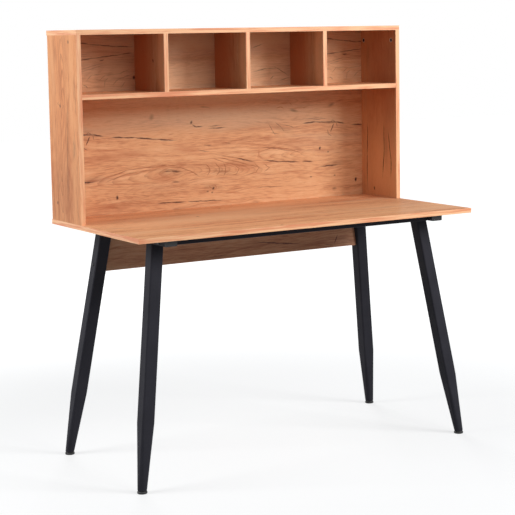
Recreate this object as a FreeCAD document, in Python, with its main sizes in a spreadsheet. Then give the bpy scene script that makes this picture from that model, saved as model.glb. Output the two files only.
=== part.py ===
import FreeCAD, Part
import math
import os
import re

import Sketcher

# A writing desk on a splayed steel frame, with a shelf hutch of four compartments along its back.
# The origin is on the floor under the middle of the desk, +Z is up and the user sits at -Y.

# Driving dimensions in millimetres, each with its own cell in the document's sheet
SIZES = {
    # the desk
    "desk_width": 1200.0,
    "desk_depth": 600.0,
    "desk_height": 750.0,
    # the boards: thickness, edge banding, and the clearance round whatever is let into them
    "board": 15.0,
    "band": 1.0,
    "fit": 0.1,
    # the hutch: shelf_rise is the top of the shelf above the desktop
    "hutch_height": 590.0,
    "hutch_depth": 219.0,
    "side_setback": 5.0,
    "shelf_rise": 395.0,
    "back_panel": 3.0,
    "back_inset": 8.0,
    "groove_depth": 6.0,
    # cam locks and their bolts
    "cam_diameter": 15.0,
    "cam_height": 12.3,
    "cam_bore_depth": 12.5,
    "cam_reach": 34.0,
    "cam_setback": 27.0,
    "cam_rim": 2.0,
    "cam_recess": 0.8,
    "cam_key_width": 2.5,
    "cam_key_length": 9.0,
    "cam_key_depth": 3.0,
    "cam_bolt_bore": 8.0,
    "cam_bolt_shank": 7.0,
    "cam_bolt_neck": 4.0,
    "cam_bolt_head": 6.4,
    "cam_bolt_head_length": 4.0,
    "cam_bolt_neck_length": 4.0,
    "cam_bolt_thread": 5.0,
    "cam_bolt_grip": 11.0,
    # wooden dowels: the longer end sits in a board's edge, the shorter one in a face
    "dowel_diameter": 8.0,
    "dowel_length": 30.0,
    "dowel_face_depth": 10.0,
    "dowel_chamfer": 1.0,
    "dowel_setback": 60.0,
    # countersunk screws that go through a board into the edge of another
    "edge_screw_head": 10.0,
    "edge_screw_head_height": 3.0,
    "edge_screw_collar": 7.0,
    "edge_screw_collar_length": 13.0,
    "edge_screw_thread": 5.0,
    "edge_screw_length": 50.0,
    "edge_screw_setback": 42.0,
    # pan-head screws of the back panel
    "back_screw_head": 6.0,
    "back_screw_head_height": 1.8,
    "back_screw_shank": 3.0,
    "back_screw_length": 16.0,
    # the steel frame: one square tube for the legs, one flat tube for sides and rails
    "tube_width": 40.0,
    "tube_height": 20.0,
    "tube_wall": 1.5,
    "tube_corner": 3.0,
    "side_tube_inset": 98.0,
    "side_tube_setback": 28.0,
    "rail_setback": 50.0,
    "cap_flange": 1.5,
    "cap_insert": 12.0,
    "cap_wall": 2.0,
    # legs: square tube that tapers to a round end
    "leg_corner": 5.0,
    "leg_wall": 1.5,
    "leg_top_setback": 129.0,
    "foot_inset": 15.5,
    "foot_setback": 48.0,
    "foot_end_width": 27.5,
    "foot_end_corner": 13.0,
    "taper_height": 190.0,
    # levelling feet
    "foot_height": 10.0,
    "foot_seat_gap": 0.3,
    "pad_diameter": 30.0,
    "pad_height": 7.5,
    "pad_bevel": 2.0,
    "pad_chamfer": 1.0,
    "neck_flats": 20.0,
    "stud_diameter": 8.0,
    "stud_chamfer": 1.0,
    "stud_seat": 3.0,
    "stud_fit": 0.05,
    "foot_travel": 10.0,
    "thread_engagement": 15.0,
    "plug_height": 20.0,
    # pan-head screws from the frame into the desktop
    "frame_screw_head": 8.0,
    "frame_screw_head_height": 2.5,
    "frame_screw_shank": 4.0,
    "frame_screw_length": 32.0,
    "rail_screw_inset": 272.0,
    "side_screw_setback": 200.0,
    # flat-head bolts that hold the rails between the side tubes
    "rail_bolt_head": 14.0,
    "rail_bolt_head_height": 2.0,
    "rail_bolt_shank": 6.0,
    "rail_bolt_end": 4.0,
    "rail_nut_length": 12.0,
    # modesty panel between the back legs, with one bolt and barrel nut at each end
    "panel_drop": 147.0,
    "panel_gap": 0.5,
    "panel_bolt_rise": 23.0,
    "panel_bolt_head": 9.0,
    "panel_bolt_head_height": 3.0,
    "panel_bolt_shank": 6.0,
    "panel_bolt_depth": 32.0,
    "barrel_diameter": 10.0,
    "barrel_length": 12.0,
    "barrel_depth": 24.0,
    # angle brackets between the modesty panel and the desktop
    "bracket_sheet": 2.0,
    "bracket_width": 32.0,
    "bracket_reach": 14.0,
    "bracket_drop": 26.0,
    "bracket_offset": 300.0,
    "bracket_screw_spread": 18.0,
    "bracket_screw_drop": 17.0,
    "bracket_screw_head": 7.0,
    "bracket_screw_head_height": 2.0,
    "bracket_screw_shank": 3.5,
    "bracket_screw_length": 12.0,
    # how far a cutting tool starts outside what it cuts
    "overrun": 2.0,
}

# Places and lengths that follow from the driving dimensions
LEFT = "(-desk_width / 2)"
FRONT = "(-desk_depth / 2)"
UNDERSIDE = "(desk_height - board)"
HUTCH_FRONT = "(desk_depth / 2 - hutch_depth)"
SIDE_DEPTH = "(hutch_depth - side_setback)"
SIDE_HEIGHT = "(hutch_height - board)"
TOP_UNDERSIDE = "(desk_height + hutch_height - board)"
SHELF_TOP = "(desk_height + shelf_rise)"
SHELF_DEPTH = "(hutch_depth - side_setback - back_inset - back_panel)"
HALF_INNER = "(desk_width / 2 - board)"
DIVIDER_PITCH = "((desk_width - board) / 4)"
DIVIDER_HEIGHT = "(hutch_height - board - shelf_rise)"
BACK_FACE = "(desk_depth / 2 - side_setback - back_inset - back_panel)"
TUBE_AXIS_HEIGHT = "(desk_height - board - tube_height / 2)"
TUBE_UNDERSIDE = "(desk_height - board - tube_height)"
SIDE_TUBE_X = "(desk_width / 2 - side_tube_inset - tube_width / 2)"
RAIL_Y = "(desk_depth / 2 - rail_setback - tube_width / 2)"
HALF_RAIL = "(desk_width / 2 - side_tube_inset - tube_width)"
FOOT_X = "(desk_width / 2 - foot_inset)"
FOOT_Y = "(desk_depth / 2 - foot_setback)"
LEG_RISE = "(desk_height - board - tube_height - foot_height)"
LEAN_X = "(side_tube_inset + tube_width / 2 - foot_inset)"
LEAN_Y = "(leg_top_setback - foot_setback)"
LEAN_ANGLE = f"atan({LEAN_X} / {LEG_RISE})"
PANEL_LEVEL = "(desk_height - board - panel_drop)"
BOLT_RISE = f"(({PANEL_LEVEL} + panel_bolt_rise - foot_height) / {LEG_RISE})"
PANEL_FRONT = f"({FOOT_Y} - {LEAN_Y} * {BOLT_RISE} - board / 2)"
BOLT_X = f"({FOOT_X} - {LEAN_X} * {BOLT_RISE} + tube_width / 2)"
BARREL_REACH = "(tube_width + panel_gap + barrel_depth)"
SIDE_CAM_PLACES = ("cam_setback", f"({SIDE_DEPTH} - cam_setback)")
SHELF_CAM_PLACES = ("cam_setback", f"({SHELF_DEPTH} - cam_setback)")
DIVIDER_PLACES = (f"(-{DIVIDER_PITCH})", "0", DIVIDER_PITCH)

# Mirror planes of the desk, and the turns that lay a piece along another axis
ACROSS = FreeCAD.Vector(1, 0, 0)
ALONG = FreeCAD.Vector(0, 1, 0)
TO_RIGHT = (FreeCAD.Vector(0, 1, 0), 90)
TO_LEFT = (FreeCAD.Vector(0, 1, 0), -90)
TO_FRONT = (FreeCAD.Vector(1, 0, 0), 90)
UPSIDE_DOWN = (FreeCAD.Vector(0, 1, 0), 180)
FACE_TO_RIGHT = (FreeCAD.Vector(1, 0, 1), 180)

doc = FreeCAD.newDocument("desk")
sheet = doc.addObject("Spreadsheet::Sheet", "Sizes")
for row, (alias, size) in enumerate(SIZES.items(), 1):
    sheet.set(f"A{row}", alias)
    sheet.set(f"B{row}", str(size))
    sheet.setAlias(f"B{row}", alias)
doc.recompute()

pieces = {}
cuts = []


def bind(thing, path, formula):
    """Bind one property to a formula, in which the names of sizes stand for cells of the sheet."""
    named = re.sub("[a-z_]+", lambda word: f"Sizes.{word[0]}" if word[0] in SIZES else word[0], formula)
    thing.setExpression(path, named)


def put(thing, x, y, z, turn=None):
    """Place a piece at the formulas x, y and z, laid along another axis by a turn."""
    if turn:
        thing.Placement = FreeCAD.Placement(FreeCAD.Vector(), FreeCAD.Rotation(*turn))
    for axis, formula in zip("xyz", (x, y, z)):
        bind(thing, f"Placement.Base.{axis}", formula)
    return thing


def keep(label, thing):
    """Name a finished piece, so that it is written out under that name."""
    thing.Label = label
    pieces[label] = thing
    return thing


def new_body(name):
    return doc.addObject("PartDesign::Body", name)


def sketch(body, name, plane, level="0"):
    """Start a sketch parallel to an origin plane of the body, at a level along the third axis."""
    drawing = body.newObject("Sketcher::SketchObject", name)
    support = next(item for item in body.Origin.OriginFeatures if item.Role == f"{plane}_Plane")
    drawing.AttachmentSupport = (support, [""])
    drawing.MapMode = "FlatFace"
    bind(drawing, "AttachmentOffset.Base.z", f"-({level})" if plane == "XZ" else level)
    return drawing


def measure(drawing, constraint, formula):
    """Add a dimension to a sketch and bind it to a formula."""
    index = drawing.addConstraint(constraint)
    bind(drawing, f"Constraints[{index}]", formula)


def pin(drawing, geometry, vertex, x, y):
    """Hold a vertex of a sketch at the formulas x and y from the sketch's origin."""
    for kind, axis, formula in (("DistanceX", -2, x), ("DistanceY", -1, y)):
        if formula == "0":
            drawing.addConstraint(Sketcher.Constraint("PointOnObject", geometry, vertex, axis))
        else:
            measure(drawing, Sketcher.Constraint(kind, -1, 1, geometry, vertex, 1), formula)


def outline(drawing, corners):
    """Draw a closed outline of straight lines through corners given as pairs of formulas."""
    turns = [2 * math.pi * number / len(corners) for number in range(len(corners) + 1)]
    start = [FreeCAD.Vector(math.cos(turn), math.sin(turn), 0) for turn in turns]
    lines = [drawing.addGeometry(Part.LineSegment(*ends), False) for ends in zip(start, start[1:])]
    for line, following, corner in zip(lines, lines[1:] + lines[:1], corners):
        drawing.addConstraint(Sketcher.Constraint("Coincident", line, 2, following, 1))
        pin(drawing, line, 1, *corner)


def rectangle(drawing, low, high):
    outline(drawing, [low, (high[0], low[1]), high, (low[0], high[1])])


def rounded_rectangle(drawing, width, height, corner):
    """Draw a rectangle with rounded corners, centred on the sketch's origin.

    It starts as a rough square of unit corners, which the dimensions then pull to size.
    """
    radius, straight = 1, 2
    half = straight + radius
    axis = FreeCAD.Vector(0, 0, 1)
    edges = []
    for quarter in range(4):
        turn = FreeCAD.Rotation(axis, 90 * quarter)
        start, end = (turn.multVec(FreeCAD.Vector(x, -half, 0)) for x in (-straight, straight))
        edges.append(drawing.addGeometry(Part.LineSegment(start, end), False))
        centre = turn.multVec(FreeCAD.Vector(straight, -straight, 0))
        first = math.radians(90 * (quarter - 1))
        arc = Part.ArcOfCircle(Part.Circle(centre, axis, radius), first, first + math.pi / 2)
        edges.append(drawing.addGeometry(arc, False))
    for edge, following in zip(edges, edges[1:] + edges[:1]):
        drawing.addConstraint(Sketcher.Constraint("Tangent", edge, 2, following, 1))
    for edge in edges[0:8:4]:
        drawing.addConstraint(Sketcher.Constraint("Horizontal", edge))
    for edge in edges[2:8:4]:
        drawing.addConstraint(Sketcher.Constraint("Vertical", edge))
    for arc in edges[3:8:2]:
        drawing.addConstraint(Sketcher.Constraint("Equal", edges[1], arc))
    drawing.addConstraint(Sketcher.Constraint("Symmetric", edges[0], 1, edges[4], 1, -1, 1))
    measure(drawing, Sketcher.Constraint("Radius", edges[1], radius), corner)
    measure(drawing, Sketcher.Constraint("DistanceX", edges[6], 1, edges[2], 1, 2 * half), width)
    measure(drawing, Sketcher.Constraint("DistanceY", edges[0], 1, edges[4], 1, 2 * half), height)


def pad(body, drawing, length, plane):
    """Raise a sketch towards the positive end of the third axis."""
    feature = body.newObject("PartDesign::Pad", "Pad")
    feature.Profile = drawing
    feature.Reversed = plane == "XZ"
    bind(feature, "Length", length)
    return body


def cut(body, drawing, depth, plane, way):
    """Cut a sketch into the body, up or down along the third axis."""
    base = body.Tip
    feature = body.newObject("PartDesign::Pocket", "Cut")
    feature.Profile = drawing
    feature.Reversed = (way == "up") != (plane == "XZ")
    bind(feature, "Length", depth)
    cuts.append((base, feature))


def circles(drawing, places, diameter):
    """Draw circles of one diameter at places, each from a unit circle."""
    radius = 1
    for x, y in places:
        start = Part.Circle(FreeCAD.Vector(), FreeCAD.Vector(0, 0, 1), radius)
        circle = drawing.addGeometry(start, False)
        pin(drawing, circle, 3, x, y)
        measure(drawing, Sketcher.Constraint("Diameter", circle, 2 * radius), diameter)


def bore(body, plane, level, way, places, diameter, depth):
    """Drill round holes of one diameter and depth from a level of the body."""
    drawing = sketch(body, "Bores", plane, level)
    circles(drawing, places, diameter)
    cut(body, drawing, depth, plane, way)


def countersink(body, places):
    """Drill the through holes of edge screws up from the body's lower face."""
    drawing = sketch(body, "ScrewPlaces", "XY")
    circles(drawing, places, "edge_screw_collar")
    doc.recompute()
    base = body.Tip
    feature = body.newObject("PartDesign::Hole", "ScrewHoles")
    feature.Profile = drawing
    feature.Reversed = True
    feature.DepthType = "ThroughAll"
    bind(feature, "Diameter", "edge_screw_collar + 2 * fit")
    feature.HoleCutType = "Countersink"
    feature.HoleCutCustomValues = True
    bind(feature, "HoleCutDiameter", "edge_screw_head + 2 * fit")
    slope = "2 * atan((edge_screw_head - edge_screw_collar) / 2 / edge_screw_head_height)"
    bind(feature, "HoleCutCountersinkAngle", slope)
    cuts.append((base, feature))


def board(name, plane, low, high, thickness="board"):
    """Cut a board to size: a rectangle between two corners, as thick as the board is."""
    body = new_body(name)
    drawing = sketch(body, "Outline", plane)
    rectangle(drawing, low, high)
    return pad(body, drawing, thickness, plane)


def strip(name, length, width, height, x, y, z):
    """Make a plain strip of edge banding."""
    box = doc.addObject("Part::Box", name)
    for side, formula in zip(("Length", "Width", "Height"), (length, width, height)):
        bind(box, side, formula)
    return put(box, x, y, z)


def turned(name, profile):
    """Turn a profile of radius and height pairs about the body's vertical axis."""
    body = new_body(name)
    drawing = sketch(body, "Profile", "XZ")
    outline(drawing, profile)
    feature = body.newObject("PartDesign::Revolution", "Turning")
    feature.Profile = drawing
    feature.ReferenceAxis = (drawing, ["V_Axis"])
    return body


def stepped(start, steps):
    """Give the profile of a stepped piece: each step has a radius and the height it reaches."""
    corners = [("0", start)]
    level = start
    for radius, reach in steps:
        corners += [(radius, level), (radius, reach)]
        level = reach
    return corners + [("0", level)]


def pan_head(name, kind):
    """Turn a screw whose crowned head lies below its origin and whose shank points up."""
    crown_share, tip_share = 0.6, 0.5
    radius = f"{kind}_head / 2"
    low = f"-{kind}_head_height"
    shank = f"{kind}_shank / 2"
    shoulder = f"{kind}_length - {kind}_shank"
    return turned(name, [("0", low), (f"{radius} * {crown_share}", low), (radius, f"{low} / 2"),
                         (radius, "0"), (shank, "0"), (shank, shoulder),
                         (f"{shank} * {tip_share}", f"{kind}_length"), ("0", f"{kind}_length")])


def together(name, *things):
    """Put several solids under one name."""
    group = doc.addObject("Part::Compound", name)
    group.Links = list(things)
    return group


def copies(name, master, places):
    """Repeat one piece at several places."""
    links = []
    for place in places:
        link = doc.addObject("App::Link", f"{name}_copy")
        link.LinkedObject = master
        links.append(put(link, *place))
    return together(name, *links)


def mirrored(name, thing, normal):
    image = doc.addObject("Part::Mirroring", name)
    image.Source = thing
    image.Normal = normal
    return image


def both_sides(label, left):
    """Keep a left-hand group and its image on the right as one piece."""
    return keep(label, together(label, left, mirrored(f"{label}_right", left, ACROSS)))


def pair(label, left):
    """Keep a left-hand piece and its image on the right as two pieces."""
    keep(label, left)
    other = label.replace("left", "right")
    keep(other, mirrored(other, left, ACROSS))


def at_corners(x, y):
    return [(f"{across} * {x}", f"{along} * {y}") for across in (-1, 1) for along in (-1, 1)]


def edge_frame(label, depth, front, level):
    """Band the four edges of a board as wide as the desk, between its front and a depth behind."""
    long_places = (front, f"{front} + {depth} - band")
    short_places = (LEFT, f"-{LEFT} - band")
    long_strips = [strip(label, "desk_width", "band", "board", LEFT, y, level) for y in long_places]
    short_strips = [strip(label, "band", f"{depth} - 2 * band", "board", x, f"{front} + band", level)
                    for x in short_places]
    keep(label, together(label, *long_strips, *short_strips))


def desktop():
    half_width = "(desk_width / 2 - band)"
    half_depth = "(desk_depth / 2 - band)"
    panel = board("desktop_panel", "XY", (f"-{half_width}", f"-{half_depth}"), (half_width, half_depth))
    bore(panel, "XY", "0", "up", frame_screw_places(), "frame_screw_shank + 2 * fit",
         "frame_screw_length - tube_height + fit")
    bore(panel, "XY", "0", "up", bracket_screw_places(), "bracket_screw_shank + 2 * fit",
         "bracket_screw_length - bracket_sheet + fit")
    countersink(panel, base_screw_places())
    keep("desktop_panel", put(panel, "0", "0", UNDERSIDE))
    edge_frame("desktop_edging", "desk_depth", FRONT, UNDERSIDE)


def frame_screw_places():
    return (at_corners("(desk_width / 2 - rail_screw_inset)", RAIL_Y)
            + at_corners(SIDE_TUBE_X, "(desk_depth / 2 - side_screw_setback)"))


def bracket_screw_places():
    y = f"{PANEL_FRONT} + board + (bracket_sheet + bracket_reach) / 2"
    return [(f"{side} * bracket_offset + {way} * bracket_screw_spread / 2", y)
            for side in (-1, 1) for way in (-1, 1)]


def base_screw_places():
    ends = ("edge_screw_setback", f"({SIDE_DEPTH} - edge_screw_setback)")
    return [(f"{side} * (desk_width / 2 - board / 2)", f"{HUTCH_FRONT} + {end}")
            for side in (-1, 1) for end in ends]


def back_screw_places():
    return [f"{eighth} * {DIVIDER_PITCH} / 2" for eighth in (-3, -1, 1, 3)]


def hutch_sides():
    """Upright sides, drilled for the cam locks, dowels and screws and grooved for the back."""
    side = board("hutch_left_side", "YZ", ("band", "0"), (f"{SIDE_DEPTH} - band", SIDE_HEIGHT))
    cam_level = f"{SIDE_HEIGHT} - cam_reach"
    shelf_middle = "(shelf_rise - board / 2)"
    shelf_cams = [(y, shelf_middle) for y in SHELF_CAM_PLACES]
    bore(side, "YZ", "board", "down", [(y, cam_level) for y in SIDE_CAM_PLACES],
         "cam_diameter + 2 * fit", "cam_bore_depth")
    bore(side, "XY", SIDE_HEIGHT, "down", [("board / 2", y) for y in SIDE_CAM_PLACES],
         "cam_bolt_bore", "cam_reach")
    bore(side, "XY", SIDE_HEIGHT, "down", [("board / 2", f"{SIDE_DEPTH} / 2")],
         "dowel_diameter + 2 * fit", "dowel_length - dowel_face_depth + fit")
    bore(side, "YZ", "board", "down", shelf_cams, "cam_bolt_thread + 2 * fit", "cam_bolt_grip + fit")
    bore(side, "YZ", "board", "down", [(f"{SHELF_DEPTH} / 2", shelf_middle)],
         "dowel_diameter + 2 * fit", "dowel_face_depth + fit")
    bore(side, "XY", "0", "up",
         [("board / 2", end) for end in ("edge_screw_setback", f"({SIDE_DEPTH} - edge_screw_setback)")],
         "edge_screw_thread + 2 * fit", "edge_screw_length - board + fit")
    groove = sketch(side, "Groove", "XY")
    rectangle(groove, ("board - groove_depth", f"{SHELF_DEPTH} - fit"),
              ("board + overrun", f"{SHELF_DEPTH} + back_panel + fit"))
    cut(side, groove, SIDE_HEIGHT, "XY", "up")
    pair("hutch_left_side", put(side, LEFT, HUTCH_FRONT, "desk_height"))
    edges = (HUTCH_FRONT, f"{HUTCH_FRONT} + {SIDE_DEPTH} - band")
    bands = [strip("side_band", "board", "band", SIDE_HEIGHT, LEFT, y, "desk_height") for y in edges]
    pair("hutch_left_side_edging", together("side_bands", *bands))


def hutch_top():
    half_width = "(desk_width / 2 - band)"
    side_middle = "(desk_width / 2 - board / 2)"
    top = board("hutch_top_board", "XY", (f"-{half_width}", "band"), (half_width, "hutch_depth - band"))
    bore(top, "XY", "0", "up",
         [(f"{side} * {side_middle}", y) for side in (-1, 1) for y in SIDE_CAM_PLACES],
         "cam_bolt_thread + 2 * fit", "cam_bolt_grip + fit")
    side_dowels = [(f"{side} * {side_middle}", f"{SIDE_DEPTH} / 2") for side in (-1, 1)]
    bore(top, "XY", "0", "up", side_dowels + divider_dowel_places(),
         "dowel_diameter + 2 * fit", "dowel_face_depth + fit")
    groove = sketch(top, "Groove", "XY")
    half_groove = f"({HALF_INNER} + groove_depth)"
    rectangle(groove, (f"-{half_groove}", f"{SHELF_DEPTH} - fit"),
              (half_groove, f"{SHELF_DEPTH} + back_panel + fit"))
    cut(top, groove, "groove_depth", "XY", "up")
    keep("hutch_top_board", put(top, "0", HUTCH_FRONT, TOP_UNDERSIDE))
    edge_frame("hutch_top_edging", "hutch_depth", HUTCH_FRONT, TOP_UNDERSIDE)


def divider_ends(setback):
    return (setback, f"({SHELF_DEPTH} - {setback})")


def divider_dowel_places():
    return [(x, y) for x in DIVIDER_PLACES for y in divider_ends("dowel_setback")]


def hutch_shelf():
    shelf = board("hutch_shelf", "XY", (f"-{HALF_INNER}", "band"), (HALF_INNER, SHELF_DEPTH))
    cam_x = f"({HALF_INNER} - cam_reach)"
    bore(shelf, "XY", "0", "up",
         [(f"{side} * {cam_x}", y) for side in (-1, 1) for y in SHELF_CAM_PLACES],
         "cam_diameter + 2 * fit", "cam_bore_depth")
    for level, way in ((HALF_INNER, "down"), (f"-{HALF_INNER}", "up")):
        bore(shelf, "YZ", level, way, [(y, "board / 2") for y in SHELF_CAM_PLACES],
             "cam_bolt_bore", "cam_reach")
        bore(shelf, "YZ", level, way, [(f"{SHELF_DEPTH} / 2", "board / 2")],
             "dowel_diameter + 2 * fit", "dowel_length - dowel_face_depth + fit")
    bore(shelf, "XZ", SHELF_DEPTH, "down", [(x, "board / 2") for x in back_screw_places()],
         "back_screw_shank + 2 * fit", "back_screw_length - back_panel + fit")
    countersink(shelf, [(x, y) for x in DIVIDER_PLACES for y in divider_ends("edge_screw_setback")])
    keep("hutch_shelf", put(shelf, "0", HUTCH_FRONT, f"{SHELF_TOP} - board"))
    keep("hutch_shelf_edging", strip("hutch_shelf_edging", f"2 * {HALF_INNER}", "band", "board",
                                     f"-{HALF_INNER}", HUTCH_FRONT, f"{SHELF_TOP} - board"))


def dividers():
    bands = []
    for label, x in zip(("left_divider", "centre_divider", "right_divider"), DIVIDER_PLACES):
        divider = board(label, "YZ", ("band", "0"), (SHELF_DEPTH, DIVIDER_HEIGHT))
        bore(divider, "XY", DIVIDER_HEIGHT, "down",
             [("board / 2", y) for y in divider_ends("dowel_setback")],
             "dowel_diameter + 2 * fit", "dowel_length - dowel_face_depth + fit")
        bore(divider, "XY", "0", "up", [("board / 2", y) for y in divider_ends("edge_screw_setback")],
             "edge_screw_thread + 2 * fit", "edge_screw_length - board + fit")
        keep(label, put(divider, f"{x} - board / 2", HUTCH_FRONT, SHELF_TOP))
        bands.append(strip("divider_band", "board", "band", DIVIDER_HEIGHT,
                           f"{x} - board / 2", HUTCH_FRONT, SHELF_TOP))
    keep("divider_edging", together("divider_edging", *bands))


def hutch_back():
    half_width = f"({HALF_INNER} + groove_depth - fit)"
    panel = board("hutch_back_panel", "XZ", (f"-{half_width}", "0"),
                  (half_width, f"{SIDE_HEIGHT} + groove_depth - fit"), "back_panel")
    screw_level = "(shelf_rise - board / 2)"
    bore(panel, "XZ", "0", "up", [(x, screw_level) for x in back_screw_places()],
         "back_screw_shank + 2 * fit", "back_panel")
    keep("hutch_back_panel", put(panel, "0", BACK_FACE, "desk_height"))
    screw = pan_head("back_screw", "back_screw")
    places = [(x, f"{BACK_FACE} + back_panel", f"desk_height + {screw_level}", TO_FRONT)
              for x in back_screw_places()]
    keep("back_panel_screws", copies("back_panel_screws", screw, places))


def cam_locks():
    """Cam locks with a recessed key slot, and the bolts that they draw in, at top and shelf."""
    bolt_level = "(cam_height - board / 2)"
    lock = new_body("cam_lock")
    drawing = sketch(lock, "Round", "XY")
    circles(drawing, [("0", "0")], "cam_diameter")
    pad(lock, drawing, "cam_height", "XY")
    bore(lock, "XY", "cam_height", "down", [("0", "0")], "cam_diameter - 2 * cam_rim", "cam_recess")
    key = sketch(lock, "Key", "XY", "cam_height - cam_recess")
    long_end, half_width = ("cam_key_length / 2", "cam_key_width / 2")
    outline(key, [(f"-{long_end}", f"-{half_width}"), (f"-{half_width}", f"-{half_width}"),
                  (f"-{half_width}", f"-{long_end}"), (half_width, f"-{long_end}"),
                  (half_width, f"-{half_width}"), (long_end, f"-{half_width}"),
                  (long_end, half_width), (half_width, half_width),
                  (half_width, long_end), (f"-{half_width}", long_end),
                  (f"-{half_width}", half_width), (f"-{long_end}", half_width)])
    cut(lock, key, "cam_key_depth", "XY", "down")
    bore(lock, "YZ", "cam_diameter / 2 + overrun", "down", [("0", bolt_level)],
         "cam_bolt_shank + 2 * fit", "cam_diameter / 2 + overrun + cam_bolt_head_length / 2 + fit")
    head_end = "cam_bolt_head_length / 2"
    neck_end = f"({head_end} + cam_bolt_neck_length)"
    bolt = turned("cam_bolt", stepped(f"-{head_end}", [
        ("cam_bolt_head / 2", head_end), ("cam_bolt_neck / 2", neck_end),
        ("cam_bolt_shank / 2", "cam_reach"), ("cam_bolt_thread / 2", "(cam_reach + cam_bolt_grip)")]))
    top_level = f"{TOP_UNDERSIDE} - cam_reach"
    top_places = [(f"-{HALF_INNER} - cam_height", f"{HUTCH_FRONT} + {y}", top_level, FACE_TO_RIGHT)
                  for y in SIDE_CAM_PLACES]
    both_sides("hutch_top_cam_locks", copies("top_locks", lock, top_places))
    top_bolts = [(f"{LEFT} + board / 2", f"{HUTCH_FRONT} + {y}", top_level) for y in SIDE_CAM_PLACES]
    both_sides("hutch_top_cam_bolts", copies("top_bolts", bolt, top_bolts))
    shelf_x = f"-{HALF_INNER} + cam_reach"
    shelf_locks = [(shelf_x, f"{HUTCH_FRONT} + {y}", f"{SHELF_TOP} - board + cam_height", UPSIDE_DOWN)
                   for y in SHELF_CAM_PLACES]
    both_sides("shelf_cam_locks", copies("shelf_locks", lock, shelf_locks))
    shelf_bolts = [(shelf_x, f"{HUTCH_FRONT} + {y}", f"{SHELF_TOP} - board / 2", TO_LEFT)
                   for y in SHELF_CAM_PLACES]
    both_sides("shelf_cam_bolts", copies("shelf_bolts", bolt, shelf_bolts))


def dowels():
    radius = "dowel_diameter / 2"
    tip = "dowel_diameter / 2 - dowel_chamfer"
    dowel = turned("dowel", [("0", "0"), (tip, "0"), (radius, "dowel_chamfer"),
                             (radius, "dowel_length - dowel_chamfer"), (tip, "dowel_length"),
                             ("0", "dowel_length")])
    under_top = f"{TOP_UNDERSIDE} + dowel_face_depth - dowel_length"
    side_dowels = copies("side_dowels", dowel, [
        (f"{LEFT} + board / 2", f"{HUTCH_FRONT} + {SIDE_DEPTH} / 2", under_top),
        (f"dowel_length - dowel_face_depth - {HALF_INNER}", f"{HUTCH_FRONT} + {SHELF_DEPTH} / 2",
         f"{SHELF_TOP} - board / 2", TO_LEFT)])
    divider_dowels = copies("divider_dowels", dowel, [
        (x, f"{HUTCH_FRONT} + {y}", under_top) for x, y in divider_dowel_places()])
    keep("wooden_dowels", together("wooden_dowels", side_dowels,
                                   mirrored("side_dowels_right", side_dowels, ACROSS), divider_dowels))


def edge_screws():
    """Countersunk screws up through the desktop into the sides, and through the shelf."""
    screw = turned("edge_screw", [
        ("0", "0"), ("edge_screw_head / 2", "0"), ("edge_screw_collar / 2", "edge_screw_head_height"),
        ("edge_screw_collar / 2", "edge_screw_collar_length"),
        ("edge_screw_thread / 2", "edge_screw_collar_length"),
        ("edge_screw_thread / 2", "edge_screw_length"), ("0", "edge_screw_length")])
    keep("hutch_base_screws", copies("hutch_base_screws", screw, [
        (x, y, UNDERSIDE) for x, y in base_screw_places()]))
    keep("divider_screws", copies("divider_screws", screw, [
        (x, f"{HUTCH_FRONT} + {y}", f"{SHELF_TOP} - board")
        for x in DIVIDER_PLACES for y in divider_ends("edge_screw_setback")]))


def flat_tube(name, plane, length, start="0"):
    """Draw a rounded rectangular tube lying flat, its axis through the body's origin."""
    body = new_body(name)
    wide, high = ("tube_width", "tube_height")
    outer = sketch(body, "Outside", plane, start)
    rounded_rectangle(outer, wide, high, "tube_corner")
    pad(body, outer, length, plane)
    inner = sketch(body, "Inside", plane, start)
    rounded_rectangle(inner, f"{wide} - 2 * tube_wall", f"{high} - 2 * tube_wall", "tube_corner - tube_wall")
    cut(body, inner, length, plane, "up")
    return body


def side_tubes():
    """Tubes under the two ends of the desktop, each closed by a plastic cap at both ends."""
    origin_y = "(side_tube_setback + cap_flange)"
    tube = flat_tube("left_side_tube", "XZ", f"desk_depth - 2 * {origin_y}")
    screw_ys = [f"{end} - {origin_y}" for end in ("side_screw_setback", "desk_depth - side_screw_setback")]
    bore(tube, "XY", "-tube_height / 2", "up", [("0", y) for y in screw_ys],
         "frame_screw_shank + 2 * fit", "tube_height")
    rail_ys = [f"{end} - {origin_y}" for end in ("rail_setback + tube_width / 2",
                                                 "desk_depth - rail_setback - tube_width / 2")]
    bore(tube, "YZ", "-tube_width / 2", "up", [(y, "0") for y in rail_ys],
         "rail_bolt_shank + 2 * fit", "tube_width")
    pair("left_side_tube", put(tube, f"-{SIDE_TUBE_X}", f"{FRONT} + {origin_y}", TUBE_AXIS_HEIGHT))
    cap = new_body("end_cap")
    flange = sketch(cap, "Flange", "XZ")
    rounded_rectangle(flange, "tube_width", "tube_height", "tube_corner")
    pad(cap, flange, "cap_flange", "XZ")
    insert = sketch(cap, "Insert", "XZ", "cap_flange")
    inside = "2 * (tube_wall + fit)"
    rounded_rectangle(insert, f"tube_width - {inside}", f"tube_height - {inside}",
                      "tube_corner - tube_wall - fit")
    pad(cap, insert, "cap_insert", "XZ")
    hollow = sketch(cap, "Hollow", "XZ", "cap_flange")
    rectangle(hollow, (f"cap_wall + ({inside} - tube_width) / 2", f"cap_wall + ({inside} - tube_height) / 2"),
              (f"(tube_width - {inside}) / 2 - cap_wall", f"(tube_height - {inside}) / 2 - cap_wall"))
    cut(cap, hollow, "cap_insert", "XZ", "up")
    put(cap, f"-{SIDE_TUBE_X}", f"{FRONT} + side_tube_setback", TUBE_AXIS_HEIGHT)
    left_caps = together("left_caps", cap, mirrored("back_left_cap", cap, ALONG))
    both_sides("side_tube_end_caps", left_caps)


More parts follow.
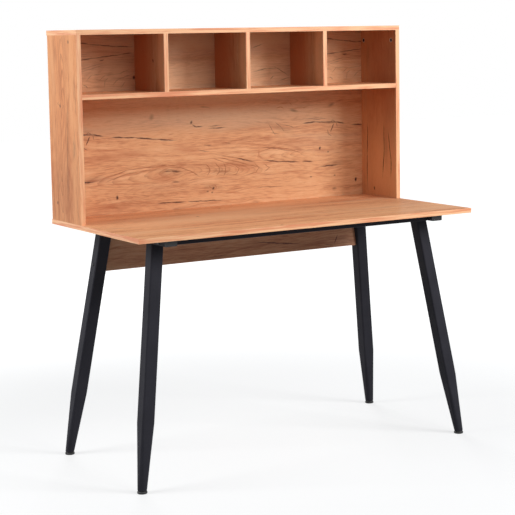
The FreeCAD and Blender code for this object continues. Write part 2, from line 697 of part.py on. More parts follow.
def rails():
    """Rails between the side tubes, with a threaded block in each end for a bolt."""
    front_rail = flat_tube("front_rail", "YZ", f"2 * {HALF_RAIL}", f"-{HALF_RAIL}")
    screw_x = "(desk_width / 2 - rail_screw_inset)"
    bore(front_rail, "XY", "-tube_height / 2", "up", [(f"-{screw_x}", "0"), (screw_x, "0")],
         "frame_screw_shank + 2 * fit", "tube_height")
    keep("front_rail", put(front_rail, "0", f"-{RAIL_Y}", TUBE_AXIS_HEIGHT))
    keep("rear_rail", mirrored("rear_rail", front_rail, ALONG))
    nut = new_body("rail_nut")
    block = sketch(nut, "Block", "YZ")
    inside = "2 * (tube_wall + fit)"
    rounded_rectangle(block, f"tube_width - {inside}", f"tube_height - {inside}",
                      "tube_corner - tube_wall - fit")
    pad(nut, block, "rail_nut_length", "YZ")
    bore(nut, "YZ", "0", "up", [("0", "0")], "rail_bolt_shank + 2 * fit", "rail_nut_length")
    put(nut, f"-{HALF_RAIL}", f"-{RAIL_Y}", TUBE_AXIS_HEIGHT)
    both_sides("rail_end_nuts", together("left_nuts", nut, mirrored("back_left_nut", nut, ALONG)))
    bolt = turned("rail_bolt", stepped("-rail_bolt_head_height", [
        ("rail_bolt_head / 2", "0"),
        ("rail_bolt_shank / 2", "tube_width + rail_nut_length + rail_bolt_end")]))
    both_sides("rail_bolts", copies("left_bolts", bolt, [
        (f"side_tube_inset + {LEFT}", f"{side} * {RAIL_Y}", TUBE_AXIS_HEIGHT, TO_RIGHT)
        for side in (-1, 1)]))


def frame_screws():
    screw = pan_head("frame_screw", "frame_screw")
    keep("frame_screws", copies("frame_screws", screw, [
        (x, y, TUBE_UNDERSIDE) for x, y in frame_screw_places()]))


def leg_section(body, name, width, corner, rise):
    """Draw a level rounded square round the leaning axis of a leg, at a rise above its lower end."""
    drawing = sketch(body, name, "XY", rise)
    bind(drawing, "AttachmentOffset.Base.x", f"{LEAN_X} * {rise} / {LEG_RISE}")
    bind(drawing, "AttachmentOffset.Base.y", f"{LEAN_Y} * {rise} / {LEG_RISE}")
    rounded_rectangle(drawing, width, width, corner)
    return drawing


def loft(body, kind, sections):
    feature = body.newObject(f"PartDesign::{kind}Loft", f"{kind}Loft")
    feature.Profile = sections[0]
    feature.Sections = sections[1:]
    feature.Ruled = True


def leg_tube(name):
    """Loft a hollow leg that leans both ways and goes from square at the top to round below."""
    body = new_body(name)
    for kind, wall in (("Additive", "0"), ("Subtractive", "leg_wall")):
        sections = [leg_section(body, f"{kind}Section", f"{width} - 2 * {wall}", f"{corner} - {wall}", rise)
                    for width, corner, rise in (("foot_end_width", "foot_end_corner", "0"),
                                                ("tube_width", "leg_corner", "taper_height"),
                                                ("tube_width", "leg_corner", LEG_RISE))]
        loft(body, kind, sections)
    return put(body, f"-{FOOT_X}", f"-{FOOT_Y}", "foot_height")


def panel_bolt_place():
    return (f"-{BOLT_X}", f"{PANEL_FRONT} + board / 2", f"{PANEL_LEVEL} + panel_bolt_rise")


def legs():
    """Four legs, the back ones drilled square to their outer faces for the panel bolts."""
    front_left = leg_tube("front_left_leg")
    pair("front_left_leg", front_left)
    back_left = doc.addObject("Part::Cut", "back_left_leg")
    back_left.Base = mirrored("back_left_tube", front_left, ALONG)
    back_left.Tool = panel_bolt_drill()
    pair("back_left_leg", back_left)
    plug = new_body("leg_end_plug")
    taper_share = "plug_height / taper_height"
    inside = "2 * (leg_wall + fit)"
    upper_width = f"foot_end_width + (tube_width - foot_end_width) * {taper_share} - {inside}"
    upper_corner = f"foot_end_corner + (leg_corner - foot_end_corner) * {taper_share} - leg_wall - fit"
    lower = leg_section(plug, "Lower", f"foot_end_width - {inside}", "foot_end_corner - leg_wall - fit", "0")
    upper = leg_section(plug, "Upper", upper_width, upper_corner, "plug_height")
    loft(plug, "Additive", [lower, upper])
    bore(plug, "XY", "0", "up", [("0", "0")], "stud_diameter + 2 * stud_fit", "plug_height")
    put(plug, f"-{FOOT_X}", f"-{FOOT_Y}", "foot_height")
    left_plugs = together("left_plugs", plug, mirrored("back_left_plug", plug, ALONG))
    both_sides("leg_end_plugs", left_plugs)


def four_ways(stem, front_left):
    """Keep a piece at the front left corner and its images at the other three corners."""
    pair(f"front_left_{stem}", front_left)
    pair(f"back_left_{stem}", mirrored(f"back_left_{stem}", front_left, ALONG))


def levelling_feet():
    """Plastic pads with a hexagonal neck, each moulded round a threaded stud."""
    radius = "pad_diameter / 2"
    foot = turned("foot_pad", [
        ("0", "0"), (f"{radius} - pad_chamfer", "0"), (radius, "pad_chamfer"),
        (radius, "pad_height - pad_bevel"), (f"{radius} - pad_bevel", "pad_height"), ("0", "pad_height")])
    neck = sketch(foot, "Neck", "XY", "pad_height")
    flat, point = "neck_flats / 2", "neck_flats / sqrt(3)"
    outline(neck, [("0", f"-{point}"), (flat, f"-{point} / 2"), (flat, f"{point} / 2"),
                   ("0", point), (f"-{flat}", f"{point} / 2"), (f"-{flat}", f"-{point} / 2")])
    neck_top = "(foot_height - foot_seat_gap)"
    pad(foot, neck, f"{neck_top} - pad_height", "XY")
    bore(foot, "XY", neck_top, "down", [("0", "0")], "stud_diameter + 2 * stud_fit",
         f"{neck_top} - stud_seat")
    four_ways("foot_pad", put(foot, f"-{FOOT_X}", f"-{FOOT_Y}", "0"))
    stud_radius = "stud_diameter / 2"
    stud_top = "(foot_height + foot_travel + thread_engagement)"
    stud = turned("foot_stud", [
        ("0", "stud_seat"), (f"{stud_radius} - stud_chamfer", "stud_seat"),
        (stud_radius, "stud_seat + stud_chamfer"), (stud_radius, f"{stud_top} - stud_chamfer"),
        (f"{stud_radius} - stud_chamfer", stud_top), ("0", stud_top)])
    four_ways("foot_stud", put(stud, f"-{FOOT_X}", f"-{FOOT_Y}", "0"))


def lean_bolt(thing):
    """Lay a bolt or its drill square to the outer face of the back left leg."""
    put(thing, *panel_bolt_place(), turn=TO_RIGHT)
    bind(thing, "Placement.Rotation.Angle", f"90 deg + {LEAN_ANGLE}")
    return thing


def panel_bolt_drill():
    radius = "panel_bolt_shank / 2 + fit"
    reach = f"{BARREL_REACH} + panel_bolt_depth - barrel_depth + fit"
    return lean_bolt(turned("panel_bolt_drill", stepped("-overrun", [(radius, reach)])))


def modesty_panel():
    """Panel with ends cut to the lean of the back legs, bolted to them through barrel nuts."""
    def half_span(height):
        return (f"({FOOT_X} - {LEAN_X} * ({height} - foot_height) / {LEG_RISE}"
                " - tube_width / 2 - panel_gap)")

    def outline_between(drawing, low, high):
        outline(drawing, [(f"-{half_span(low)}", f"{low} - {PANEL_LEVEL}"),
                          (half_span(low), f"{low} - {PANEL_LEVEL}"), *high,
                          *[(f"-({x})", z) for x, z in reversed(high)]])

    half_top = f"({HALF_RAIL} - panel_gap)"
    panel = new_body("modesty_board")
    drawing = sketch(panel, "Outline", "XZ")
    ends = [(half_top, f"{level} - {PANEL_LEVEL}") for level in (TUBE_UNDERSIDE, UNDERSIDE)]
    outline_between(drawing, f"({PANEL_LEVEL} + band)", ends)
    pad(panel, drawing, "board", "XZ")
    barrel_x = f"({BOLT_X} - {BARREL_REACH} * cos({LEAN_ANGLE}))"
    barrel_rise = f"(panel_bolt_rise - {BARREL_REACH} * sin({LEAN_ANGLE}))"
    bore(panel, "XZ", "board", "down",
         [(f"{side} * {barrel_x}", barrel_rise) for side in (-1, 1)],
         "barrel_diameter + 2 * fit", "(board + barrel_length) / 2 + fit")
    bore(panel, "XZ", "board", "down",
         [(f"{side} * bracket_offset + {way} * bracket_screw_spread / 2",
           "panel_drop - bracket_screw_drop") for side in (-1, 1) for way in (-1, 1)],
         "bracket_screw_shank + 2 * fit", "bracket_screw_length - bracket_sheet + fit")
    put(panel, "0", PANEL_FRONT, PANEL_LEVEL)
    drill = panel_bolt_drill()
    drilled = doc.addObject("Part::Cut", "modesty_panel")
    drilled.Base = panel
    drilled.Tool = together("panel_drills", drill, mirrored("right_drill", drill, ACROSS))
    keep("modesty_panel", drilled)
    edging = new_body("modesty_panel_edging")
    drawing = sketch(edging, "Outline", "XZ")
    outline_between(drawing, PANEL_LEVEL, [(half_span(f"({PANEL_LEVEL} + band)"), "band")])
    pad(edging, drawing, "board", "XZ")
    keep("modesty_panel_edging", put(edging, "0", PANEL_FRONT, PANEL_LEVEL))
    crown_share = 0.55
    head = "panel_bolt_head / 2"
    low = "-panel_bolt_head_height"
    bolt = lean_bolt(turned("panel_bolt", [
        ("0", low), (f"{head} * {crown_share}", low), (head, f"{low} / 2"), (head, "0"),
        ("panel_bolt_shank / 2", "0"),
        ("panel_bolt_shank / 2", f"{BARREL_REACH} + panel_bolt_depth - barrel_depth"),
        ("0", f"{BARREL_REACH} + panel_bolt_depth - barrel_depth")]))
    both_sides("modesty_panel_bolts", bolt)
    barrel = turned("barrel", stepped("-barrel_length / 2", [("barrel_diameter / 2", "barrel_length / 2")]))
    put(barrel, f"-{barrel_x}", f"{PANEL_FRONT} + board / 2", f"{PANEL_LEVEL} + {barrel_rise}", TO_FRONT)
    nut = doc.addObject("Part::Cut", "barrel_nut")
    nut.Base = barrel
    nut.Tool = drill
    both_sides("barrel_nuts", nut)


def brackets():
    """Angle brackets behind the modesty panel, screwed to it and to the desktop."""
    bracket = new_body("bracket")
    profile = sketch(bracket, "Angle", "YZ", "-bracket_width / 2")
    outline(profile, [("0", "0"), ("0", "-bracket_drop"), ("bracket_sheet", "-bracket_drop"),
                      ("bracket_sheet", "-bracket_sheet"), ("bracket_reach", "-bracket_sheet"),
                      ("bracket_reach", "0")])
    pad(bracket, profile, "bracket_width", "YZ")
    screw_xs = ("-bracket_screw_spread / 2", "bracket_screw_spread / 2")
    hole = "bracket_screw_shank + 2 * fit"
    flange_middle = "(bracket_sheet + bracket_reach) / 2"
    bore(bracket, "XY", "-bracket_sheet", "up", [(x, flange_middle) for x in screw_xs], hole, "bracket_sheet")
    bore(bracket, "XZ", "0", "up", [(x, "-bracket_screw_drop") for x in screw_xs], hole, "bracket_sheet")
    panel_back = f"({PANEL_FRONT} + board)"
    both_sides("modesty_brackets", put(bracket, "-bracket_offset", panel_back, UNDERSIDE))
    screw = pan_head("bracket_screw", "bracket_screw")
    places = [(f"{x} - bracket_offset", f"{panel_back} + {flange_middle}", f"{UNDERSIDE} - bracket_sheet")
              for x in screw_xs]
    places += [(f"{x} - bracket_offset", f"{panel_back} + bracket_sheet",
                f"{UNDERSIDE} - bracket_screw_drop", TO_FRONT) for x in screw_xs]
    both_sides("bracket_screws", copies("left_bracket_screws", screw, places))


def build():
    desktop()
    hutch_sides()
    hutch_top()
    hutch_shelf()
    dividers()
    hutch_back()
    cam_locks()
    dowels()
    edge_screws()
    side_tubes()
    rails()
    frame_screws()
    legs()
    levelling_feet()
    modesty_panel()
    brackets()
    doc.recompute()


def check():
    """Stop before anything is written if a feature failed, a piece is bad or a cut cut nothing."""
    for thing in doc.Objects:
        if {"Invalid", "Error"} & set(thing.State):
            raise RuntimeError(f"{thing.Label} failed: {thing.State}")
    for label, thing in pieces.items():
        if thing.Shape.isNull() or not thing.Shape.isValid() or not thing.Shape.Solids:
            raise RuntimeError(f"{label} has no valid shape")
    for base, feature in cuts:
        if not feature.Shape.Volume < base.Shape.Volume:
            raise RuntimeError(f"{feature.Label} of {feature.getParent().Label} cuts nothing")


def write():
    os.makedirs("parts", exist_ok=True)
    for label, thing in pieces.items():
        solids = thing.Shape.Solids
        shape = solids[0] if len(solids) == 1 else Part.makeCompound(solids)
        shape.exportStep(f"parts/{label}.step")


build()
check()
write()
print(len(pieces), "pieces,", sum(len(thing.Shape.Solids) for thing in pieces.values()), "solids")
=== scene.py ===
import math

import bmesh
import bpy
from bpy.props import FloatProperty, FloatVectorProperty, PointerProperty
from mathutils import Matrix, Vector


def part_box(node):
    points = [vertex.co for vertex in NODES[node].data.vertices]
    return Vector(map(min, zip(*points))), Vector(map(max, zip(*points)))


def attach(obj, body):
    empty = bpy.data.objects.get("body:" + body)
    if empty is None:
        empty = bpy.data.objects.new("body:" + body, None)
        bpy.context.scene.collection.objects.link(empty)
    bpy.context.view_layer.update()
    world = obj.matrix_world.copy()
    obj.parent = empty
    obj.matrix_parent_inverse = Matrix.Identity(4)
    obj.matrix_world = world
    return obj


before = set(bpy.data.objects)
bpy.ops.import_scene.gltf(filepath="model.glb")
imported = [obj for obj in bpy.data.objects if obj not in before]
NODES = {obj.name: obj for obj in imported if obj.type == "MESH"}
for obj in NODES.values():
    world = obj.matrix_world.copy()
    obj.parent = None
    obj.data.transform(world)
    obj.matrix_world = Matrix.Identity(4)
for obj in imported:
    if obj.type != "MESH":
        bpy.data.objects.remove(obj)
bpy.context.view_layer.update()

bl_info = {
    "name": "Writing desk with a compartment hutch",
    "version": (1, 0, 0),
    "blender": (4, 5, 0),
    "location": "3D View > Sidebar > Desk",
    "description": "Finishes the boards, frame and fittings of the desk, and sets up its studio",
    "category": "Object",
}

MM = 0.001


def linear(code):
    """The linear colour of an sRGB hex value, with full alpha."""
    parts = [int(code[i:i + 2], 16) / 255 for i in (1, 3, 5)]
    return [c / 12.92 if c <= 0.04045 else ((c + 0.055) / 1.055) ** 2.4 for c in parts] + [1.0]


def colour_property(name, description, code):
    return FloatVectorProperty(
        name=name, description=description, subtype="COLOR", size=4, min=0, max=1, default=linear(code))


def length_property(name, description, value):
    return FloatProperty(name=name, description=description, unit="LENGTH", default=value)


def power_property(name, watts):
    return FloatProperty(
        name=name, description=f"Power of the {name.lower()} in watts", unit="POWER", default=watts)


class DeskColours(bpy.types.PropertyGroup):
    """Colours of the desk's finishes."""

    # the light oak tone also serves as painted light on the desktop, the right side's lower part and the
    # dividers' fronts
    oak_light_and_painted_light: colour_property("Oak light", "Early wood between the grain lines of the print", "#F2BF92")
    oak_mid: colour_property("Oak", "Main tone of the oak print", "#E8A97B")
    # the dark oak tone also serves as painted shade on the right side's upper part and the dividers' rears
    oak_dark_and_painted_shade: colour_property("Oak dark", "Grain lines of the print", "#BD7A56")
    oak_shade: colour_property("Oak shade", "Broad greyer bands of the print", "#CFA586")
    # painted light: pale bands that lift the shade under the shelf and the top board of the back panel
    painted_fill_light: colour_property("Painted fill light", "Painted light that lifts the shade under the shelf and the top", "#F2D2AD")
    # the figure colour also paints the shade on the lower part of the left side's outer face
    figure: colour_property("Figure", "Arched growth lines of the print", "#96593B")
    # the crack colour also paints the shade in the cam locks' recesses
    crack: colour_property("Crack", "Filled cracks and knots of the print", "#3A2224")
    banding: colour_property("Edge banding", "Main tone of the edge banding", "#FFC494")
    banding_line: colour_property("Edge banding line", "Fine grain of the edge banding", "#E8946A")
    hardboard: colour_property("Hardboard", "Bare rear of the back panel", "#8A6244")
    powder_coat: colour_property("Powder coat", "Black coat of the steel frame", "#333238")
    black_plastic: colour_property("Black plastic", "Pads, caps and plugs", "#1A1A1B")
    zinc: colour_property("Zinc", "Cam fittings, screws and studs", "#B9B9BB")
    cam_rim: colour_property("Cam rim", "Rim of the cam locks at the hutch's top", "#E6DED2")
    black_zinc: colour_property("Black zinc", "Blackened screws and bolts", "#2A292B")
    beech: colour_property("Beech", "Turned wooden dowels", "#D9B48A")
    fill: colour_property("Fill", "Tint of the even light from all round", "#DCF0FF")
    floor: colour_property("Floor", "Studio floor and backdrop", "#9A9A9A")


class DeskSizes(bpy.types.PropertyGroup):
    """Sizes of the details that the looks add."""

    banding_pitch: length_property(
        "Banding pitch", "Distance between the streaks of the edge banding", 7.0 * MM)
    crack_wobble: length_property("Crack wobble", "Width of the strip in which a crack wanders", 6.0 * MM)
    peel_size: length_property("Orange peel", "Size of the waves in the powder coat", 1.6 * MM)
    bead_radius: length_property("Weld bead", "Radius of the weld beads at the leg tops", 1.6 * MM)


class DeskStudio(bpy.types.PropertyGroup):
    """Camera and lamps."""

    camera_place: FloatVectorProperty(
        name="Camera place", description="Where the camera stands", subtype="XYZ", unit="LENGTH", size=3,
        default=(-2.5122, -4.0879, 1.3176))
    camera_aim: FloatVectorProperty(
        name="Camera aim", description="Direction in which the camera looks", subtype="DIRECTION", size=3,
        default=(0.51693, 0.84911, -0.10860))
    camera_right: FloatVectorProperty(
        name="Camera right", description="Direction of the picture's right-hand side", subtype="DIRECTION",
        size=3, default=(0.85311, -0.52147, -0.01649))
    lens: FloatProperty(name="Lens", description="Focal length in millimetres", unit="CAMERA", default=105.94)
    shift: FloatProperty(
        name="Shift", description="Rise of the lens, as a share of the picture", default=-0.1117)
    key_power: power_property("Key lamp", 112)
    front_power: power_property("Front lamp", 45)
    side_power: power_property("Side lamp", 74)
    rear_power: power_property("Rear lamp", 55)
    fill: FloatProperty(name="Fill", description="Strength of the even light from all round", default=0.2)


def add(tree, kind, inputs=None, out=0, stops=None, **settings):
    """Adds a node with its settings, links or fills its inputs, and returns one output, or all for None."""
    node = tree.nodes.new(kind)
    for name, value in settings.items():
        setattr(node, name, value)
    for key, value in (inputs or {}).items():
        if isinstance(value, bpy.types.NodeSocket):
            tree.links.new(value, node.inputs[key])
        else:
            node.inputs[key].default_value = value
    if stops:
        ramp = node.color_ramp.elements
        while len(ramp) < len(stops):
            ramp.new(0.5)
        for element, (place, colour) in zip(ramp, stops):
            element.position, element.color = place, colour
    return node.outputs if out is None else node.outputs[out]


def new_material(name, **shader):
    """A material with one principled shader, its tree, and the shader's sockets, where constants are set."""
    material = bpy.data.materials.new(name)
    material.use_nodes = True
    tree = material.node_tree
    principled = tree.nodes["Principled BSDF"]
    for key, value in shader.items():
        principled.inputs[key.replace("_", " ")].default_value = value
    return material, tree, principled.inputs


def background_rays(tree):
    """One for the rays that see the background: the camera's own, and those that gloss or glass sends on."""
    paths = add(tree, "ShaderNodeLightPath", out=None)
    seen = add(tree, "ShaderNodeMath", {0: paths["Is Camera Ray"], 1: paths["Is Glossy Ray"]},
               operation="MAXIMUM")
    return add(tree, "ShaderNodeMath", {0: seen, 1: paths["Is Transmission Ray"]}, operation="MAXIMUM")


def finish_node(material, *names):
    """Puts one material on nodes of the frame. A name that the frame lacks raises an error."""
    for name in names:
        data = NODES[name].data
        data.materials.clear()
        data.materials.append(material)


def new_piece(name, body, material, build):
    """A mesh piece that build() fills through a bmesh, riding on a body of the frame."""
    data = bpy.data.meshes.new(name)
    mesh = bmesh.new()
    build(mesh)
    bmesh.ops.recalc_face_normals(mesh, faces=mesh.faces)
    mesh.to_mesh(data)
    mesh.free()
    data.shade_smooth()
    data.materials.append(material)
    piece = bpy.data.objects.new(name, data)
    bpy.context.scene.collection.objects.link(piece)
    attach(piece, body)
    return piece


# Oak print melamine: chipboard faced with a printed paper under pressed melamine. The eye sees wavy warm
# streaks along the board, arches where the print shows a flat-sawn log, dark filled cracks and knots, and
# a satin face with a light emboss, without the depth of real wood.

# real sizes of the print in millimetres: length along the grain and width across it. Real pores are about
# 0.4 mm wide and drawn coarser, so that they show.
STREAK = (42.0, 2.2)
BAND = (240.0, 9.0)
TONE = (700.0, 75.0)
FIGURE = (620.0, 120.0)
WAVE = (330.0, 90.0)
PORE = (14.0, 1.6)
FIGURE_RIPPLE = (110.0, 30.0)
MARK_SWAY = (28.0, 9.0)
MARK_FRAY = (16.0, 2.4)
# what makes up the print's tone: size, shift of its noise, detail and weight
TONES = ((STREAK, 0.0, 3.0, 0.85), (BAND, 5.0, 2.0, 0.5), (TONE, 7.0, 2.0, 0.7))
# how far the grain wanders across the board, in millimetres
GRAIN_DRIFT = 45.0
# how closely the growth lines follow on one another, and how much they darken the print
FIGURE_TURNS, FIGURE_DEPTH = 150.0, 0.22
# how much of the greyer shade and of the dark pores goes into the print
SHADE_SHARE, PORE_SHARE = 0.55, 0.35
# how much the ripple bends the listed arches, in lines
RIPPLE_LINES = 1.6
# how deep a listed mark reaches from its face in millimetres, so that it stays off the other face
FACE_REACH = 6.0
# how far a stretch of a line runs on, as a share of its length: at the line's ends, and past its joints,
# where it keeps the line's width
END_RUN, JOINT_RUN = 0.06, 0.34


def stretched(tree, place, size, shift=0.0):
    """The place divided by a pattern's real size, so that a texture of scale 1 has that size."""
    along, across = (1 / (s * MM) for s in size)
    return add(tree, "ShaderNodeMapping", {
        "Vector": place, "Location": (shift, shift, shift), "Scale": (along, across, across)})


def oak_print_group():
    """The print's grain as a node group: a place on the board goes in, its colour and relief come out."""
    group = bpy.data.node_groups.get("oak print")
    if group:
        return group
    colours = bpy.context.scene.desk_colours
    group = bpy.data.node_groups.new("oak print", "ShaderNodeTree")
    group.interface.new_socket("Place", in_out="INPUT", socket_type="NodeSocketVector")
    group.interface.new_socket("Figure", in_out="INPUT", socket_type="NodeSocketFloat")
    group.interface.new_socket("Color", in_out="OUTPUT", socket_type="NodeSocketColor")
    group.interface.new_socket("Relief", in_out="OUTPUT", socket_type="NodeSocketFloat")
    given = add(group, "NodeGroupInput", out=None)
    place = given["Place"]

    wave = add(group, "ShaderNodeTexNoise", {
        "Vector": stretched(group, place, WAVE), "Scale": 1, "Detail": 2})
    drift = add(group, "ShaderNodeMath", {0: wave, 1: 0.5}, operation="SUBTRACT")
    drift = add(group, "ShaderNodeMath", {0: drift, 1: GRAIN_DRIFT * MM}, operation="MULTIPLY")
    drift = add(group, "ShaderNodeCombineXYZ", {"Y": drift})
    wavy = add(group, "ShaderNodeVectorMath", {0: place, 1: drift}, operation="ADD")

    def layer(size, shift, detail=2.0):
        """One layer of the print at its real size, along the wandering grain."""
        return add(group, "ShaderNodeTexNoise", {
            "Vector": stretched(group, wavy, size, shift), "Scale": 1, "Detail": detail, "Roughness": 0.6})

    # growth lines: contour lines of a slow field, which close into arches where the field has a crest
    field = layer(FIGURE, 3.0, 1.0)
    turns = add(group, "ShaderNodeMath", {0: field, 1: FIGURE_TURNS}, operation="MULTIPLY")
    rings = add(group, "ShaderNodeMath", {0: turns}, operation="SINE")
    rings = add(group, "ShaderNodeMapRange", {0: rings, 1: 0.1, 2: 1.0}, interpolation_type="SMOOTHSTEP")
    rings = add(group, "ShaderNodeMath", {0: rings, 1: layer(BAND, 9.0)}, operation="MULTIPLY")
    rings = add(group, "ShaderNodeMath", {0: rings, 1: given["Figure"]}, operation="MULTIPLY")
    rings = add(group, "ShaderNodeMath", {0: rings, 1: FIGURE_DEPTH}, operation="MULTIPLY")

    tone = 0.5
    layers = [(layer(size, shift, detail), weight) for size, shift, detail, weight in TONES]
    for value, weight in layers:
        offset = add(group, "ShaderNodeMath", {0: value, 1: 0.5}, operation="SUBTRACT")
        tone = add(group, "ShaderNodeMath", {0: offset, 1: weight, 2: tone}, operation="MULTIPLY_ADD")
    tone = add(group, "ShaderNodeMath", {0: tone, 1: rings}, operation="SUBTRACT")

    colour = add(group, "ShaderNodeValToRGB", {0: tone}, stops=[
        (0.22, colours.oak_dark_and_painted_shade), (0.5, colours.oak_mid), (0.8, colours.oak_light_and_painted_light)])
    shade = add(group, "ShaderNodeMapRange", {0: layer(TONE, 21.0, 3.0), 1: 0.5, 2: 0.8, 4: SHADE_SHARE},
                interpolation_type="SMOOTHSTEP")
    colour = add(group, "ShaderNodeMix", {0: shade, 6: colour, 7: colours.oak_shade}, out=2,
                 data_type="RGBA")
    pores = add(group, "ShaderNodeMapRange", {0: layer(PORE, 2.0, 1.0), 1: 0.62, 2: 0.74})
    deep = add(group, "ShaderNodeMath", {0: pores, 1: PORE_SHARE}, operation="MULTIPLY")
    colour = add(group, "ShaderNodeMix", {0: deep, 6: colour, 7: colours.oak_dark_and_painted_shade}, out=2, data_type="RGBA")
    relief = add(group, "ShaderNodeMath", {0: tone, 1: pores}, operation="SUBTRACT")
    add(group, "NodeGroupOutput", {"Color": colour, "Relief": relief}, out=None)
    return group


def board_place(tree, axes, repeat=None):
    """Place on a board in metres: along the grain, across it and through the board. Between the two
    places of repeat the print runs once, and beyond them it starts again."""
    position = add(tree, "ShaderNodeTexCoord", out=3)
    split = add(tree, "ShaderNodeSeparateXYZ", {0: position}, out=None)
    along, across, through = (split[axis] for axis in axes)
    if repeat:
        along = add(tree, "ShaderNodeMath", {0: along, 1: repeat[1] * MM, 2: repeat[0] * MM},
                    operation="WRAP")
    return add(tree, "ShaderNodeCombineXYZ", {"X": along, "Y": across, "Z": through})


def hand_figure(tree, place, figures):
    """Strength of the nested arches listed for a board, from 0 to 1. Each figure has its
    centre and half size in mm, the distance between its lines along the grain and their bow across it,
    its turn in degrees and its strength."""
    ripple = add(tree, "ShaderNodeTexNoise", {
        "Vector": stretched(tree, place, FIGURE_RIPPLE), "Scale": 1, "Detail": 3})
    total = 0.0
    for centre, half, pitch, turn, strength in figures:
        where = {"Vector": place, "Location": [c * MM for c in centre],
                 "Rotation": (0, 0, math.radians(turn))}
        edge = add(tree, "ShaderNodeMapping", {
            **where, "Scale": (half[0] * MM, half[1] * MM, FACE_REACH * MM)}, vector_type="TEXTURE")
        edge = add(tree, "ShaderNodeTexGradient", {0: edge}, out=1, gradient_type="SPHERICAL")
        edge = add(tree, "ShaderNodeMapRange", {0: edge, 1: 0.0, 2: 0.55, 3: 0.0, 4: strength},
                   interpolation_type="SMOOTHSTEP")
        local = add(tree, "ShaderNodeMapping", {**where, "Scale": (pitch[0] * MM, pitch[1] * MM, 1.0)},
                    vector_type="TEXTURE")
        # lines of equal x + y squared are arches, one for each whole number
        split = add(tree, "ShaderNodeSeparateXYZ", {0: local}, out=None)
        count = add(tree, "ShaderNodeMath", {0: split["Y"], 1: split["Y"], 2: split["X"]},
                    operation="MULTIPLY_ADD")
        count = add(tree, "ShaderNodeMath", {0: ripple, 1: RIPPLE_LINES, 2: count},
                    operation="MULTIPLY_ADD")
        saw = add(tree, "ShaderNodeMath", {0: count}, operation="FRACT")
        line = add(tree, "ShaderNodeMapRange", {0: saw, 1: 0.45, 2: 1.0})
        line = add(tree, "ShaderNodeMath", {0: line, 1: 1.5}, operation="POWER")
        line = add(tree, "ShaderNodeMath", {0: line, 1: edge}, operation="MULTIPLY")
        total = add(tree, "ShaderNodeMath", {0: line, 1: total}, operation="ADD")
    return total


def print_marks(tree, place, lines):
    """Strength of the cracks, knots, streaks and patches listed for a board, from 0 to 1.
    Each line has its points in mm along and across the grain, its width in mm, its strength, its softness
    and the place of its face through the board."""
    sway = add(tree, "ShaderNodeTexNoise", {
        "Vector": stretched(tree, place, MARK_SWAY), "Scale": 1, "Detail": 2}, out=1)
    sway = add(tree, "ShaderNodeVectorMath", {0: sway, 1: (0.5, 0.5, 0.5)}, operation="SUBTRACT")
    wobble = bpy.context.scene.desk_sizes.crack_wobble
    sway = add(tree, "ShaderNodeVectorMath", {0: sway, 1: (0, wobble, 0)}, operation="MULTIPLY")
    swayed = add(tree, "ShaderNodeVectorMath", {0: place, 1: sway}, operation="ADD")
    fray = add(tree, "ShaderNodeTexNoise", {
        "Vector": stretched(tree, place, MARK_FRAY), "Scale": 1, "Detail": 2})
    fray = add(tree, "ShaderNodeMapRange", {0: fray, 1: 0.3, 2: 0.5, 3: 0.75})
    total = 0.0
    for points, width, strength, softness, face in lines:
        last = len(points) - 2
        for i, ((u0, v0), (u1, v1)) in enumerate(zip(points, points[1:])):
            length, angle = math.hypot(u1 - u0, v1 - v0), math.atan2(v1 - v0, u1 - u0)
            before = (END_RUN if i == 0 else JOINT_RUN) * length
            after = (END_RUN if i == last else JOINT_RUN) * length
            shift = (after - before) / 2
            local = add(tree, "ShaderNodeMapping", {
                "Vector": swayed,
                "Location": (((u0 + u1) / 2 + shift * math.cos(angle)) * MM,
                             ((v0 + v1) / 2 + shift * math.sin(angle)) * MM, face * MM),
                "Rotation": (0, 0, angle),
                "Scale": (((length + before + after) / 2 + width / 2) * MM, width / 2 * MM,
                          FACE_REACH * MM)}, vector_type="TEXTURE")
            depth = add(tree, "ShaderNodeTexGradient", {0: local}, out=1, gradient_type="SPHERICAL")
            mark = add(tree, "ShaderNodeMapRange", {0: depth, 1: 0.0, 2: softness, 3: 0.0, 4: strength},
                       interpolation_type="SMOOTHSTEP")
            total = add(tree, "ShaderNodeMath", {0: mark, 1: total}, operation="MAXIMUM")
    return add(tree, "ShaderNodeMath", {0: total, 1: fray}, operation="MULTIPLY")


# kinds of line: width in mm, strength and softness
CRACK, WIDE_CRACK, FINE_CRACK = (5.6, 0.9, 0.8), (6.6, 0.95, 0.8), (4.8, 0.85, 0.9)
THIN, CURL, ARCH, LOOP = (4.2, 0.6, 0.9), (3.8, 0.36, 0.9), (4.6, 0.75, 0.9), (5.0, 0.8, 0.9)
KNOT, SMALL_KNOT, SPOT, BLUR = (12.0, 0.95, 0.9), (8.0, 0.7, 0.9), (16.0, 0.5, 1.0), (24.0, 0.4, 1.0)
SMUDGE, STRAND, BROAD = (34.0, 0.22, 1.0), (9.0, 0.75, 1.0), (46.0, 0.55, 1.0)
PALE, WIDE_PALE, STREAKED = (13.0, 0.6, 1.0), (26.0, 0.7, 1.0), (4.4, 0.6, 0.9)


def drawn(kind, face, *lines):
    """Marks of one kind on one face, each from its points in mm along and across the grain."""
    return [(points, *kind, face) for points in lines]


# places of the boards' faces in mm, each along the axis through its board
BACK_FACE, MODESTY_FACE, DESKTOP_FACE = 284.0, 175.4, 750.0
LEFT_OUTER, LEFT_INNER, RIGHT_INNER, RIGHT_OUTER = -600.0, -585.0, 585.0, 600.0
